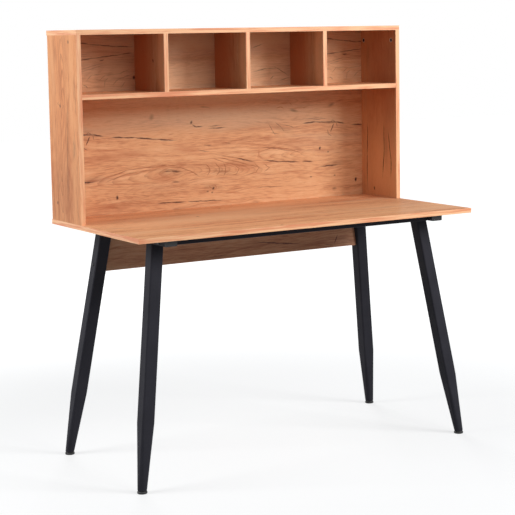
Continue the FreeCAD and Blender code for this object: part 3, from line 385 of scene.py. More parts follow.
# the back panel is as long as the print and a part more: between these places the print runs once
BACK_REPEAT = (-605.0, 330.0)
BACK_FIGURES = [
    ((40, 868, BACK_FACE), (190, 34), (27, 14), -3, 0.35),
    ((-330, 862, BACK_FACE), (230, 52), (52, 20), 184, 0.4),
    ((250, 905, BACK_FACE), (150, 36), (46, 15), 180, 0.35),
    ((230, 1090, BACK_FACE), (190, 40), (44, 12), 0, 0.35),
    ((-180, 1225, BACK_FACE), (200, 50), (60, 14), 0, 0.3),
    ((-330, 800, BACK_FACE), (240, 30), (50, 11), 0, 0.3),
]
BACK_MARKS = [
    *drawn(WIDE_CRACK, BACK_FACE,
           [(-601, 1010), (-547, 1013), (-455, 1009), (-421, 1003)],
           [(-400, 997), (-352, 996), (-310, 993), (-230, 984), (-153, 976)],
           [(-238, 773), (-180, 774), (-123, 772)],
           [(-536, 857), (-436, 861)],
           [(169, 894), (240, 884), (330, 879)], [(-605, 879), (-558, 877)]),
    *drawn(CRACK, BACK_FACE,
           [(-41, 1010), (35, 1011)], [(-97, 1025), (-83, 1017), (-57, 1018)],
           [(-483, 977), (-476, 990), (-469, 1004)], [(-211, 878), (-180, 877), (-140, 872)],
           [(64, 908), (104, 897), (142, 888)], [(-123, 772), (-60, 770), (18, 768)]),
    *drawn(FINE_CRACK, BACK_FACE, [(-512, 1302), (-466, 1296), (-365, 1286), (-303, 1285)],
           [(-512, 1245), (-456, 1250), (-346, 1262), (-308, 1266)], [(-428, 1243), (-412, 1246)]),
    *drawn(THIN, BACK_FACE,
           [(-40, 1017), (20, 1019)], [(-72, 1083), (-26, 1079)], [(25, 959), (49, 956)],
           [(-55, 956), (-22, 953)], [(-88, 942), (-26, 932)], [(-179, 751), (-153, 750)],
           [(-182, 841), (-144, 837)], [(163, 938), (231, 929), (304, 914)], [(141, 801), (255, 799)],
           [(-565, 1020), (-520, 1022)], [(133, 1192), (195, 1203), (234, 1204), (286, 1174)],
           [(134, 1272), (188, 1287)], [(243, 1160), (286, 1170)], [(208, 1166), (222, 1178)],
           [(-497, 989), (-492, 968), (-478, 962)], [(-492, 1004), (-474, 1016), (-458, 1008), (-455, 990)],
           [(196, 1020), (214, 990), (226, 975)], [(222, 1022), (250, 1000), (262, 985)],
           [(240, 1012), (285, 1004), (300, 996)], [(205, 985), (244, 978)],
           [(-486, 1167), (-478, 1165), (-471, 1157)]),
    *drawn(KNOT, BACK_FACE,
           [(-102, 1031), (-100, 1035)], [(-378, 799), (-378, 807)], [(-24, 808), (-20, 812)],
           [(-529, 919), (-529, 923)], [(-308, 1184), (-307, 1190)]),
    *drawn(SMUDGE, BACK_FACE,
           [(-240, 880), (-120, 868)], [(196, 1016), (297, 980)], [(-40, 872), (60, 858)],
           [(-60, 820), (10, 812)], [(-500, 865), (-420, 868)]),
    *drawn(CURL, BACK_FACE, [(-478, 1178), (-456, 1199), (-416, 1199)],
           [(-434, 1178), (-410, 1196), (-362, 1200), (-319, 1213)],
           [(-414, 1155), (-410, 1180), (-396, 1188)], [(-388, 1162), (-363, 1182), (-300, 1202)],
           [(-357, 1153), (-336, 1177)], [(-510, 1214), (-402, 1238)], [(-506, 1205), (-409, 1230)]),
]
# painted light: broad pale bands across the back panel where the shelf and the top board cast their shade
BACK_PAINTED_FILL_LIGHT = [
    *drawn((130.0, 0.75, 1.0), BACK_FACE, [(-600, 1056), (560, 1056)]),
    *drawn((150.0, 0.9, 1.0), BACK_FACE, [(-640, 1124), (600, 1124)], [(-640, 1292), (640, 1292)]),
    *drawn((210.0, 0.5, 1.0), BACK_FACE, [(-600, 1190), (560, 1190)]),
]
BACK_LIGHT = [
    *drawn(PALE, BACK_FACE, [(-372, 883), (-293, 889), (-247, 892)], [(-409, 858), (-331, 869), (-247, 875)],
           [(-477, 968), (-378, 965)], [(-440, 790), (-330, 792)], [(60, 940), (140, 930)]),
    *drawn(WIDE_PALE, BACK_FACE, [(172, 920), (290, 916)], [(-120, 835), (20, 838)]),
]
BACK_GRAIN = [
    *drawn(BROAD, BACK_FACE, [(-490, 928), (-379, 938), (-264, 946)], [(-260, 861), (-166, 851)],
           [(-494, 776), (-330, 774)], [(60, 880), (150, 870)], [(-180, 950), (-60, 940)]),
    *drawn(STRAND, BACK_FACE,
           [(-489, 862), (-444, 863), (-337, 887), (-235, 897), (-162, 892)],
           [(-490, 841), (-422, 848), (-325, 843), (-285, 844)],
           [(-399, 867), (-252, 882)], [(-482, 957), (-324, 956)],
           [(164, 936), (241, 932), (331, 909)], [(159, 934), (157, 908), (174, 899)],
           [(49, 957), (243, 938)], [(4, 793), (116, 786)],
           [(469, 839), (499, 845), (584, 844)], [(221, 849), (378, 846)]),
    *drawn(LOOP, BACK_FACE, [(-38, 820), (-33, 813), (-21, 806), (-12, 807), (-11, 815), (-20, 822)],
           [(225, 1082), (285, 1083), (293, 1076)], [(228, 1067), (248, 1070), (261, 1065)],
           [(274, 1063), (336, 1065), (365, 1069)]),
]
BACK_ARCHES = [
    *drawn(ARCH, BACK_FACE,
           [(-20, 924), (85, 903), (140, 895)], [(-12, 915), (48, 900), (118, 880), (158, 871)],
           [(-30, 913), (20, 895), (70, 883), (118, 873)], [(-51, 893), (-36, 880), (-34, 867), (-45, 853)],
           [(-16, 897), (1, 880), (3, 865), (-10, 851)], [(19, 892), (26, 879), (26, 861), (18, 849)],
           [(61, 883), (79, 870), (68, 852), (47, 847)], [(140, 885), (158, 868), (143, 853), (96, 844)],
           [(176, 882), (198, 866), (176, 851)],
           [(-234, 894), (-194, 898), (-153, 890), (-113, 875), (-86, 861)],
           [(-194, 889), (-140, 886), (-99, 868), (-72, 852)],
           [(-412, 870), (-340, 889), (-281, 894), (-221, 894)],
           [(-425, 853), (-353, 875), (-294, 883), (-214, 886)],
           [(155, 921), (214, 933), (280, 925), (331, 908)]),
]
BACK_SPOTS = [
    *drawn(SMALL_KNOT, BACK_FACE, [(406, 924), (409, 924)], [(438, 908), (443, 908)],
           [(366, 824), (370, 824)], [(465, 823), (469, 823)], [(-46, 801), (-42, 801)],
           [(-29, 797), (-25, 797)]),
    *drawn(KNOT, BACK_FACE, [(556, 800), (558, 806)]),
    *drawn(BLUR, BACK_FACE, [(-250, 1052), (-246, 1059)]),
    *drawn(THIN, BACK_FACE, [(341, 1025), (381, 1026), (407, 1026), (439, 1022)],
           [(-207, 882), (-184, 882), (-141, 874)], [(-178, 843), (-147, 841)]),
    *drawn(SPOT, BACK_FACE, [(287, 1060), (313, 1053)], [(445, 1067), (466, 1073)],
           [(460, 777), (470, 777)]),
]
LEFT_FIGURES = [
    ((1210, 190, LEFT_OUTER), (150, 50), (52, 17), 0, 0.45),
    ((830, 215, LEFT_OUTER), (140, 50), (46, 16), 180, 0.45),
]
LEFT_MARKS = [
    *drawn(KNOT, LEFT_OUTER, [(1302, 140), (1306, 140)], [(804, 251), (808, 251)],
           [(1106, 211), (1112, 211)]),
    *drawn(SMUDGE, LEFT_OUTER, [(1143, 157), (940, 166), (760, 176)], [(1010, 112), (950, 118)],
           [(1300, 240), (1240, 240)], [(1200, 105), (1120, 100)]),
    *drawn(THIN, LEFT_OUTER, [(1120, 206), (1096, 216)], [(1143, 157), (1040, 160), (930, 168), (800, 172)],
           [(1008, 108), (977, 115), (948, 124)], [(900, 240), (840, 236)]),
    *drawn(CRACK, LEFT_INNER, [(1080, 130), (960, 138), (850, 136)]),
]
LEFT_STREAKS_AND_LOW_SHADE = [
    *drawn(STREAKED, LEFT_OUTER,
           [(1049, 103), (1015, 115), (986, 124), (927, 131)], [(1050, 84), (1022, 91), (971, 95)],
           [(1016, 83), (961, 83)], [(966, 82), (937, 97), (909, 103)], [(921, 83), (882, 88), (811, 91)],
           [(984, 165), (918, 169), (875, 176)], [(916, 163), (877, 152), (834, 162), (779, 169)],
           [(838, 107), (796, 107), (763, 93)], [(937, 230), (871, 231), (827, 242)],
           [(1144, 99), (1111, 95), (1079, 107)], [(1151, 139), (1114, 152), (1075, 151), (1041, 160)],
           [(1124, 220), (1115, 227), (1104, 207)]),
    # painted shade: a broad darkening over the lower part of the left side's outer face
    *drawn((330.0, 0.26, 1.0), LEFT_OUTER, [(740, 190), (930, 190)]),
]
RIGHT_MARKS = [
    *drawn(CRACK, RIGHT_INNER, [(1015, 248), (900, 251), (755, 255)], [(1020, 153), (910, 151), (810, 163)],
           [(995, 131), (881, 112), (815, 114)]),
    *drawn(KNOT, RIGHT_INNER, [(773, 210), (779, 212)]),
    *drawn(SMUDGE, RIGHT_INNER, [(1010, 142), (840, 140)], [(1290, 240), (1180, 246)]),
    *drawn(THIN, RIGHT_OUTER, [(1200, 180), (1050, 172)], [(930, 240), (820, 236)]),
    *drawn(KNOT, RIGHT_OUTER, [(1060, 130), (1066, 131)]),
]
MODESTY_MARKS = [
    *drawn(CRACK, MODESTY_FACE, [(72, 633), (169, 620), (250, 612)], [(388, 598), (403, 631)]),
    *drawn(THIN, MODESTY_FACE, [(341, 603), (387, 594)], [(-116, 598), (-29, 599)]),
]
DESKTOP_MARKS = [
    *drawn(KNOT, DESKTOP_FACE, [(-211, 61), (-206, 61)], [(-113, -281), (-108, -281)],
           [(139, 276), (144, 276)], [(-47, 207), (-43, 207)]),
    *drawn(THIN, DESKTOP_FACE, [(-420, -180), (-300, -176)], [(160, -60), (330, -66)],
           [(-80, -230), (40, -226)]),
    *drawn((26.0, 0.16, 1.0), DESKTOP_FACE, [(-500, -90), (-100, -80)], [(60, -200), (500, -190)]),
]

# gloss of the melamine: level boards mirror the lamps at a flat angle, so theirs is only a thin coat
LEVEL_BOARDS = ("desktop_panel", "hutch_top_board", "hutch_shelf")
LEVEL_GLOSS = {"Specular_IOR_Level": 0.0, "Coat_Weight": 0.07, "Coat_Roughness": 0.1}
UPRIGHT_GLOSS = {"Specular_IOR_Level": 0.12}
# height of the emboss, and of the roughness over it from its low places to its high ones
EMBOSS, SATIN = 0.06 * MM, (0.46, 0.3)


def divider_painted_light_and_shade(face, light_place):
    """Painted light and shade on a divider's face: a light band along the front, where light falls in, and a
    dark band along the back, where shade falls.
    """
    return {"oak_light_and_painted_light": drawn((84.0, 1.0, 0.7), face, [(1100, light_place), (1380, light_place)]),
            "oak_dark_and_painted_shade": drawn((230.0, 1.0, 0.8), face, [(1040, 245), (1440, 245)])}


# each board: the axes along, across and through its grain, a shift of the print in mm, how much arched
# figure it shows, the listed arches and marks, each lot with its colour, and the tone of its own sheet.
# Some lots are painted light and shade, and the darker, cooler sheet tones of the modesty panel and the
# dividers are painted shade
BOARDS = {
    "desktop_panel": ("XYZ", 3300, 0.35, [], {
        # painted reflection: a pale band over the left and middle of the desktop's rear half, where the hutch
        # mirrors in it
        "oak_light_and_painted_light": drawn((330.0, 0.75, 1.0), DESKTOP_FACE, [(-460, 20), (140, 20)]),
        "crack": DESKTOP_MARKS}, "#FFFFFF"),
    "hutch_top_board": ("XYZ", 700, 0.5, [], {}, "#FFFFFF"),
    "hutch_shelf": ("XYZ", 1500, 0.5, [], {}, "#FFFFFF"),
    "hutch_back_panel": ("XZY", 0, 0.5, BACK_FIGURES, {
        # the pale bands here are painted light in the shade under the shelf and the top board
        "painted_fill_light": BACK_PAINTED_FILL_LIGHT, "oak_dark_and_painted_shade": BACK_GRAIN, "oak_light_and_painted_light": BACK_LIGHT, "figure": BACK_ARCHES,
        "crack": BACK_SPOTS}, "#F8FDFF"),
    # the modesty panel's darker, cooler sheet tone is painted shade under the desktop
    "modesty_panel": ("XZY", 5200, 0.5, [], {"crack": MODESTY_MARKS}, "#DDE2F1"),
    "hutch_left_side": ("ZYX", 2100, 0.5, LEFT_FIGURES, {
        "figure": LEFT_STREAKS_AND_LOW_SHADE, "crack": LEFT_MARKS}, "#FFEEDE"),
    "hutch_right_side": ("ZYX", 6100, 0.5, [], {
        # painted light on the lower part of the right side's inner face, and painted shade on its upper part
        # under the top board
        "oak_light_and_painted_light": drawn((420.0, 1.0, 1.0), RIGHT_INNER, [(740, 150), (960, 150)]),
        "oak_dark_and_painted_shade": drawn((460.0, 0.85, 1.0), RIGHT_INNER, [(1070, 150), (1350, 150)]),
        "crack": RIGHT_MARKS}, "#F8FFFF"),
    # the dividers' darker, cooler sheet tone is painted shade inside the compartments
    "left_divider": ("ZYX", 7700, 0.5, [], {
        **divider_painted_light_and_shade(-303.75, 98), "crack": drawn(KNOT, -303.75, [(1239, 156), (1243, 158)])}, "#E0EDF9"),
    "centre_divider": ("ZYX", 8600, 0.5, [], {
        **divider_painted_light_and_shade(-7.5, 92), "crack": drawn(THIN, -7.5, [(1160, 96), (1146, 97)])}, "#E0EDF9"),
    "right_divider": ("ZYX", 9400, 0.5, [], divider_painted_light_and_shade(288.75, 104), "#E0EDF9"),
}


def oak_material(name, axes, shift, figure, figures, marks, tone):
    """Oak print melamine on one board, with its own piece of the print."""
    colours = bpy.context.scene.desk_colours
    gloss = LEVEL_GLOSS if name in LEVEL_BOARDS else UPRIGHT_GLOSS
    material, tree, shader = new_material(f"oak_print_melamine_{name}", **gloss)
    place = board_place(tree, axes)
    moved = add(tree, "ShaderNodeVectorMath", {0: place, 1: (shift * MM, shift * MM, 0)}, operation="ADD")
    grain = add(tree, "ShaderNodeGroup", {"Place": moved, "Figure": figure}, out=None,
                node_tree=oak_print_group())
    colour, relief = grain["Color"], grain["Relief"]
    # the sheet's tone; the darker, cooler ones of the modesty panel and the dividers are painted shade
    colour = add(tree, "ShaderNodeMix", {0: 1.0, 6: colour, 7: linear(tone)}, out=2, data_type="RGBA",
                 blend_type="MULTIPLY")
    if figures:
        arches = hand_figure(tree, place, figures)
        colour = add(tree, "ShaderNodeMix", {0: arches, 6: colour, 7: colours.figure}, out=2,
                     data_type="RGBA")
    for tint, lines in marks.items():
        strength = print_marks(tree, place, lines)
        colour = add(tree, "ShaderNodeMix", {0: strength, 6: colour, 7: getattr(colours, tint)}, out=2,
                     data_type="RGBA")
    if name == "hutch_back_panel":
        repeated = print_marks(tree, board_place(tree, axes, BACK_REPEAT), BACK_MARKS)
        colour = add(tree, "ShaderNodeMix", {0: repeated, 6: colour, 7: colours.crack}, out=2,
                     data_type="RGBA")
        facing = add(tree, "ShaderNodeSeparateXYZ", {0: add(tree, "ShaderNodeTexCoord", out=1)}, out=None)
        rear = add(tree, "ShaderNodeMath", {0: facing["Y"], 1: 0.5}, operation="GREATER_THAN")
        colour = add(tree, "ShaderNodeMix", {0: rear, 6: colour, 7: hardboard(tree)}, out=2,
                     data_type="RGBA")
    sheen = add(tree, "ShaderNodeMapRange", {0: relief, 1: 0.0, 2: 1.0, 3: SATIN[0], 4: SATIN[1]})
    tree.links.new(colour, shader["Base Color"])
    tree.links.new(sheen, shader["Roughness"])
    tree.links.new(add(tree, "ShaderNodeBump", {"Height": relief, "Distance": EMBOSS, "Strength": 0.6}),
                   shader["Normal"])
    return material


def hardboard(tree):
    """Colour of hardboard: pressed wood fibre, left bare. The eye sees a dull brown with a fine mottle.
    The fibres are under 1 mm and drawn at 2.5 mm, so that they show."""
    colours = bpy.context.scene.desk_colours
    fibre = add(tree, "ShaderNodeTexNoise", {
        "Vector": add(tree, "ShaderNodeTexCoord", out=3), "Scale": 1 / (2.5 * MM), "Detail": 4})
    return add(tree, "ShaderNodeValToRGB", {0: fibre}, stops=[
        (0.3, [c * 0.8 for c in colours.hardboard[:3]] + [1]), (0.7, colours.hardboard)])


# length of a streak of the edge banding's print in millimetres
BANDING_STREAK = 160.0


def banding_material(name, across):
    """ABS edge banding: extruded strip with a printed and varnished face. The eye sees an even satin band,
    a tone lighter than the board, with straight streaks along it. The real streaks are 1 to 2 mm wide and
    drawn wider, so that they show."""
    colours, sizes = bpy.context.scene.desk_colours, bpy.context.scene.desk_sizes
    material, tree, shader = new_material(f"abs_edge_banding_{name}", Roughness=0.38, Specular_IOR_Level=0.35)
    fine, long = 1 / sizes.banding_pitch, 1 / (BANDING_STREAK * MM)
    scale = [fine if axis == across else long for axis in "XYZ"]
    place = add(tree, "ShaderNodeTexCoord", out=3)
    place = add(tree, "ShaderNodeVectorMath", {0: place, 1: scale}, operation="MULTIPLY")
    streak = add(tree, "ShaderNodeTexNoise", {"Vector": place, "Scale": 1, "Detail": 4, "Roughness": 0.6})
    colour = add(tree, "ShaderNodeValToRGB", {0: streak}, stops=[
        (0.38, colours.banding_line), (0.56, colours.banding)])
    tree.links.new(colour, shader["Base Color"])
    tree.links.new(add(tree, "ShaderNodeMapRange", {0: streak, 3: 0.46, 4: 0.34}), shader["Roughness"])
    tree.links.new(add(tree, "ShaderNodeBump", {"Height": streak, "Distance": 0.04 * MM, "Strength": 0.5}),
                   shader["Normal"])
    return material


# each banded node, and the axis across its grain
BANDING = {
    "desktop_edging": "Z", "hutch_top_edging": "Z", "hutch_shelf_edging": "Z", "modesty_panel_edging": "Y",
    "hutch_left_side_edging": "X", "hutch_right_side_edging": "X", "divider_edging": "X",
}

# size of the slow clouds in tone and gloss that handling and the batch leave on a part, in millimetres
CLOUD = 90.0


def speckled_material(name, colour, size, rough, relief, **shader_values):
    """A material whose tone, gloss and relief vary a little, over speckles of a real size and slow clouds."""
    material, tree, shader = new_material(name, **shader_values)
    place = add(tree, "ShaderNodeTexCoord", out=3)
    speckle = add(tree, "ShaderNodeTexNoise", {
        "Vector": place, "Scale": 1 / size, "Detail": 3, "Roughness": 0.55})
    cloud = add(tree, "ShaderNodeTexNoise", {"Vector": place, "Scale": 1 / (CLOUD * MM), "Detail": 3})
    mixed = add(tree, "ShaderNodeMath", {0: speckle, 1: cloud}, operation="MULTIPLY")
    tint = add(tree, "ShaderNodeValToRGB", {0: mixed}, stops=[
        (0.12, [c * 0.78 for c in colour[:3]] + [1]), (0.42, [min(1, c * 1.15) for c in colour[:3]] + [1])])
    tree.links.new(tint, shader["Base Color"])
    gloss = add(tree, "ShaderNodeMapRange", {0: mixed, 1: 0.1, 2: 0.45, 3: rough + 0.07, 4: rough - 0.05})
    tree.links.new(gloss, shader["Roughness"])
    tree.links.new(add(tree, "ShaderNodeBump", {"Height": speckle, "Distance": relief, "Strength": 0.5}),
                   shader["Normal"])
    return material


def powder_coat():
    """Polyester powder coat: sprayed on steel and baked. The eye sees a near black satin skin with a fine
    orange peel and soft edges. The real waves are about 1 mm and drawn a little larger, so that they show."""
    scene = bpy.context.scene
    return bpy.data.materials.get("polyester_powder_coat") or speckled_material(
        "polyester_powder_coat", scene.desk_colours.powder_coat, scene.desk_sizes.peel_size, 0.44,
        0.05 * MM, Specular_IOR_Level=0.05)


# where the painted shade in a cam lock's recess begins and where it is full, in mm behind the board's face
RECESS = (0.2, 0.6)


def cam_lock_material():
    """Die-cast zinc of the cam locks in view, its skin dulled, so that little of it mirrors. The eye sees a
    pale rim level with the board, and a recess with the key, darkened with the crack colour as painted shade."""
    scene = bpy.context.scene
    material = speckled_material("die_cast_zinc_cam", scene.desk_colours.cam_rim, 1.5 * MM, 0.42, 0.03 * MM,
                                 Metallic=0.15)
    tree = material.node_tree
    base = tree.nodes["Principled BSDF"].inputs["Base Color"]
    split = add(tree, "ShaderNodeSeparateXYZ", {0: add(tree, "ShaderNodeTexCoord", out=3)}, out=None)
    # how far a point lies from the desk's middle tells the rim from the recess behind it
    away = add(tree, "ShaderNodeMath", {0: split["X"]}, operation="ABSOLUTE")
    begin, full = ((RIGHT_INNER + depth) * MM for depth in RECESS)
    recess = add(tree, "ShaderNodeMapRange", {0: away, 1: begin, 2: full})
    # painted shade: the recess takes the crack colour, full at its depth
    dark = add(tree, "ShaderNodeMix", {
        0: recess, 6: base.links[0].from_socket, 7: scene.desk_colours.crack}, out=2, data_type="RGBA")
    tree.links.new(dark, base)
    return material


class DESK_OT_boards(bpy.types.Operator):
    """Oak print laminate on the desktop, the hutch and the modesty panel"""

    bl_idname = "desk.boards"
    bl_label = "Finish the boards"

    def execute(self, context):
        for name, settings in BOARDS.items():
            finish_node(oak_material(name, *settings), name)
        return {"FINISHED"}


class DESK_OT_banding(bpy.types.Operator):
    """Lighter edge banding on the open edges of the boards"""

    bl_idname = "desk.banding"
    bl_label = "Finish the edge banding"

    def execute(self, context):
        for name, across in BANDING.items():
            finish_node(banding_material(name, across), name)
        return {"FINISHED"}


class DESK_OT_frame(bpy.types.Operator):
    """Black powder coat on the legs, side tubes, rails and brackets"""

    bl_idname = "desk.steel_frame"
    bl_label = "Finish the steel frame"

    def execute(self, context):
        steel = [n for n in NODES if n.endswith(("_leg", "_rail", "_tube"))]
        finish_node(powder_coat(), "modesty_brackets", *steel)
        return {"FINISHED"}


class DESK_OT_plastics(bpy.types.Operator):
    """Moulded polypropylene on the foot pads, tube caps and leg plugs"""

    bl_idname = "desk.plastics"
    bl_label = "Finish the plastic parts"

    def execute(self, context):
        # polypropylene, injection moulded: the eye sees plain black with a soft gloss and the fine texture of
        # the mould, which is about 0.3 mm and drawn larger, so that it shows
        material = speckled_material("moulded_polypropylene", context.scene.desk_colours.black_plastic,
                                     0.8 * MM, 0.48, 0.04 * MM, IOR=1.49)
        pads = [n for n in NODES if n.endswith("_pad")]
        finish_node(material, "side_tube_end_caps", "leg_end_plugs", *pads)
        return {"FINISHED"}


class DESK_OT_fittings(bpy.types.Operator):
    """Zinc and blackened steel on the fittings, beech on the dowels"""

    bl_idname = "desk.fittings"
    bl_label = "Finish the fittings"

    def execute(self, context):
        colours = context.scene.desk_colours
        # die-cast zinc alloy, tumbled: the eye sees pale grey metal, softly mottled. The dents of the
        # tumbling are about 0.5 mm and drawn larger here and below, so that they show
        zinc = speckled_material("die_cast_zinc", colours.zinc, 1.5 * MM, 0.36, 0.03 * MM, Metallic=1.0)
        # steel, blackened in a hot bath: the eye sees a dark metal with little mirror
        black = speckled_material("blackened_steel", colours.black_zinc, 1.2 * MM, 0.38, 0.03 * MM,
                                  Metallic=0.7)
        # beech, turned and left raw: the eye sees pale dull wood with short flecks
        beech = speckled_material("turned_beech", colours.beech, 1.8 * MM, 0.6, 0.1 * MM,
                                  Specular_IOR_Level=0.3)
        finish_node(cam_lock_material(), "hutch_top_cam_locks")
        finish_node(zinc, "hutch_top_cam_bolts", "shelf_cam_locks", "shelf_cam_bolts",
                    "barrel_nuts", "rail_end_nuts", "back_panel_screws", "bracket_screws", "divider_screws",
                    "hutch_base_screws", *[n for n in NODES if n.endswith("_stud")])
        finish_node(black, "frame_screws", "rail_bolts", "modesty_panel_bolts")
        finish_node(beech, "wooden_dowels")
        return {"FINISHED"}


# a hand-welded fillet is a row of overlapping ripples: steps along each side of a leg, steps from one
# ripple to the next, how much the bead swells there, and sides of the bead
BEAD_STEPS, RIPPLE_STEPS, RIPPLE_SWELL, BEAD_SIDES = 22, 3.5, 0.16, 8
# a leg's top rim is all that lies within this height of its top
RIM_HEIGHT = 0.2 * MM


def tube_round(mesh, points, radii):
    """A closed tube of small rings round a closed line of points."""
    rings = []
    count = len(points)
    turns = [2 * math.pi * k / BEAD_SIDES for k in range(BEAD_SIDES)]
    for i, (point, radius) in enumerate(zip(points, radii)):
        forward = (points[(i + 1) % count] - points[i - 1]).normalized()
        out = forward.cross(Vector((0, 0, 1))).normalized()
        up = out.cross(forward)
        rings.append([mesh.verts.new(point + radius * (out * math.cos(a) + up * math.sin(a))) for a in turns])
    for i in range(count):
        one, two = rings[i], rings[(i + 1) % count]
        for k in range(BEAD_SIDES):
            after = (k + 1) % BEAD_SIDES
            mesh.faces.new((one[k], one[after], two[after], two[k]))


class DESK_OT_weld_beads(bpy.types.Operator):
    """Weld beads where the legs meet the side tubes, under the same coat as the tubes"""

    bl_idname = "desk.weld_beads"
    bl_label = "Add the weld beads"

    def execute(self, context):
        radius = context.scene.desk_sizes.bead_radius
        for name in sorted(n for n in NODES if n.endswith("_leg")):
            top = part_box(name)[1].z
            rim = [v.co for v in NODES[name].data.vertices if top - v.co.z < RIM_HEIGHT]
            low = Vector((min(p.x for p in rim), min(p.y for p in rim)))
            high = Vector((max(p.x for p in rim), max(p.y for p in rim)))
            corners = [Vector((x, y, top - radius)) for x, y in
                       ((low.x, low.y), (high.x, low.y), (high.x, high.y), (low.x, high.y))]
            points = [a.lerp(b, k / BEAD_STEPS) for a, b in zip(corners, corners[1:] + corners[:1])
                      for k in range(BEAD_STEPS)]
            middle = (corners[0] + corners[2]) / 2
            inset = 1 - radius / (high.x - low.x)
            points = [middle + (p - middle) * inset for p in points]
            radii = [radius * (1 + RIPPLE_SWELL * math.sin(2 * math.pi * i / RIPPLE_STEPS))
                     for i in range(len(points))]
            new_piece(name.replace("_leg", "_weld_bead"), "desk", powder_coat(),
                      lambda mesh, points=points, radii=radii: tube_round(mesh, points, radii))
        return {"FINISHED"}


# each lamp: the property with its power, its size in metres, its place and the point that it faces
LAMPS = {
    "key_lamp": ("key_power", 1.5, (2.4, -3.0, 2.5), (0, 0, 0.75)),
    "front_lamp": ("front_power", 1.8, (0.5, -3.3, 3.1), (0, 0, 0.8)),
    "side_lamp": ("side_power", 1.6, (-3.2, 0.7, 2.2), (-0.6, 0.1, 1.0)),
    "rear_lamp": ("rear_power", 1.8, (1.2, 3.6, 2.3), (0, 0.3, 0.7)),
}
# the camera's sensor in mm, its clip distances in metres, and half the floor's side in metres
SENSOR = 36
CLIP_NEAR, CLIP_FAR = 0.1, 100
FLOOR_HALF = 14.0
# the floor's own white, for the rays that see the background: its strength near the desk, where it keeps
# the shadow, and the distances from the middle in metres between which it rises to plain white
NEAR_WHITE, WHITE_BEGIN, WHITE_FULL = 0.64, 0.9, 3.0


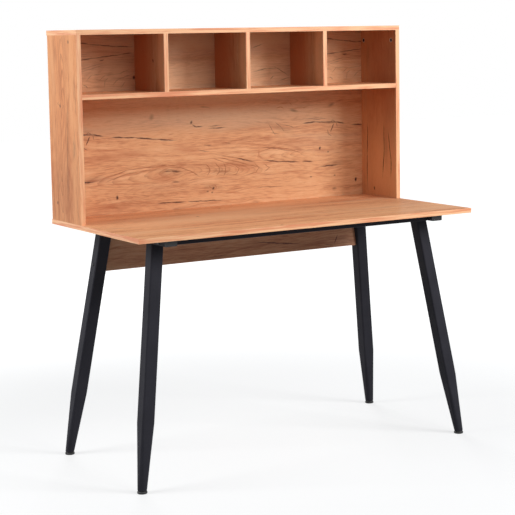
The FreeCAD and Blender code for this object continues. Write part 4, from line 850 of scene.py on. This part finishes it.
class DESK_OT_stage(bpy.types.Operator):
    """Pale floor, soft lamps and the camera"""

    bl_idname = "desk.stage"
    bl_label = "Set up the stage"

    def execute(self, context):
        scene = context.scene
        studio = scene.desk_studio
        self.floor(scene)
        self.world(scene, studio)
        for name, (power, size, place, aim) in LAMPS.items():
            data = bpy.data.lights.new(name, "AREA")
            data.energy, data.size, data.shape = getattr(studio, power), size, "SQUARE"
            lamp = bpy.data.objects.new(name, data)
            lamp.location = place
            lamp.rotation_euler = (Vector(aim) - Vector(place)).to_track_quat("-Z", "Y").to_euler()
            scene.collection.objects.link(lamp)
        self.camera(scene, studio)
        scene.view_settings.view_transform = "Standard"
        return {"FINISHED"}

    def camera(self, scene, studio):
        data = bpy.data.cameras.new("camera")
        data.lens, data.sensor_width, data.shift_y = studio.lens, SENSOR, studio.shift
        data.clip_start, data.clip_end = CLIP_NEAR, CLIP_FAR
        camera = bpy.data.objects.new("camera", data)
        back = -Vector(studio.camera_aim).normalized()
        right = Vector(studio.camera_right)
        right = (right - right.dot(back) * back).normalized()
        turn = Matrix((right, back.cross(right), back)).transposed().to_4x4()
        camera.matrix_world = Matrix.Translation(studio.camera_place) @ turn
        scene.collection.objects.link(camera)
        scene.camera = camera

    def floor(self, scene):
        mesh = bpy.data.meshes.new("floor")
        low, high = -FLOOR_HALF, FLOOR_HALF
        corners = [(low, low, 0), (high, low, 0), (high, high, 0), (low, high, 0)]
        mesh.from_pydata(corners, [], [(0, 1, 2, 3)])
        floor = bpy.data.objects.new("floor", mesh)
        scene.collection.objects.link(floor)
        # matt studio paper: the eye sees no texture, and the desk's shadow fades into white
        material, tree, shader = new_material("studio_floor", Roughness=0.9, Specular_IOR_Level=0.1)
        shader["Base Color"].default_value = scene.desk_colours.floor
        seen = background_rays(tree)
        reach = add(tree, "ShaderNodeVectorMath", {0: add(tree, "ShaderNodeTexCoord", out=3)},
                    out=1, operation="LENGTH")
        lift = add(tree, "ShaderNodeMapRange", {
            0: reach, 1: WHITE_BEGIN, 2: WHITE_FULL, 3: NEAR_WHITE, 4: 1.0}, interpolation_type="SMOOTHSTEP")
        lift = add(tree, "ShaderNodeMath", {0: lift, 1: seen}, operation="MULTIPLY")
        glow = add(tree, "ShaderNodeEmission", {"Strength": lift})
        principled = tree.nodes["Principled BSDF"].outputs[0]
        both = add(tree, "ShaderNodeAddShader", {0: principled, 1: glow})
        tree.links.new(both, tree.nodes["Material Output"].inputs["Surface"])
        mesh.materials.append(material)

    def world(self, scene, studio):
        world = bpy.data.worlds.new("studio")
        world.use_nodes = True
        tree = world.node_tree
        seen = background_rays(tree)
        strength = add(tree, "ShaderNodeMapRange", {0: seen, 3: studio.fill, 4: 1.0})
        background = tree.nodes["Background"].inputs
        tint = add(tree, "ShaderNodeMix", {0: seen, 6: scene.desk_colours.fill, 7: (1, 1, 1, 1)}, out=2,
                   data_type="RGBA")
        tree.links.new(tint, background["Color"])
        tree.links.new(strength, background["Strength"])
        scene.world = world


class DESK_PT_sidebar(bpy.types.Panel):
    """Lists the steps that finish the desk"""

    bl_idname = "DESK_PT_sidebar"
    bl_label = "Desk"
    bl_space_type = "VIEW_3D"
    bl_region_type = "UI"
    bl_category = "Desk"

    def draw(self, context):
        for group in (context.scene.desk_colours, context.scene.desk_sizes, context.scene.desk_studio):
            box = self.layout.box()
            for name in group.__annotations__:
                box.prop(group, name)
        for operator in OPERATORS:
            self.layout.operator(operator.bl_idname)


OPERATORS = (DESK_OT_boards, DESK_OT_banding, DESK_OT_frame, DESK_OT_plastics, DESK_OT_fittings,
             DESK_OT_weld_beads, DESK_OT_stage)
GROUPS = {"desk_colours": DeskColours, "desk_sizes": DeskSizes, "desk_studio": DeskStudio}


def register():
    for cls in (*GROUPS.values(), *OPERATORS, DESK_PT_sidebar):
        bpy.utils.register_class(cls)
    for name, group in GROUPS.items():
        setattr(bpy.types.Scene, name, PointerProperty(type=group))


def unregister():
    for name in GROUPS:
        delattr(bpy.types.Scene, name)
    for cls in reversed((*GROUPS.values(), *OPERATORS, DESK_PT_sidebar)):
        bpy.utils.unregister_class(cls)


def main():
    register()
    for operator in OPERATORS:
        family, step = operator.bl_idname.split(".")
        getattr(getattr(bpy.ops, family), step)()


if __name__ == "__main__":
    main()
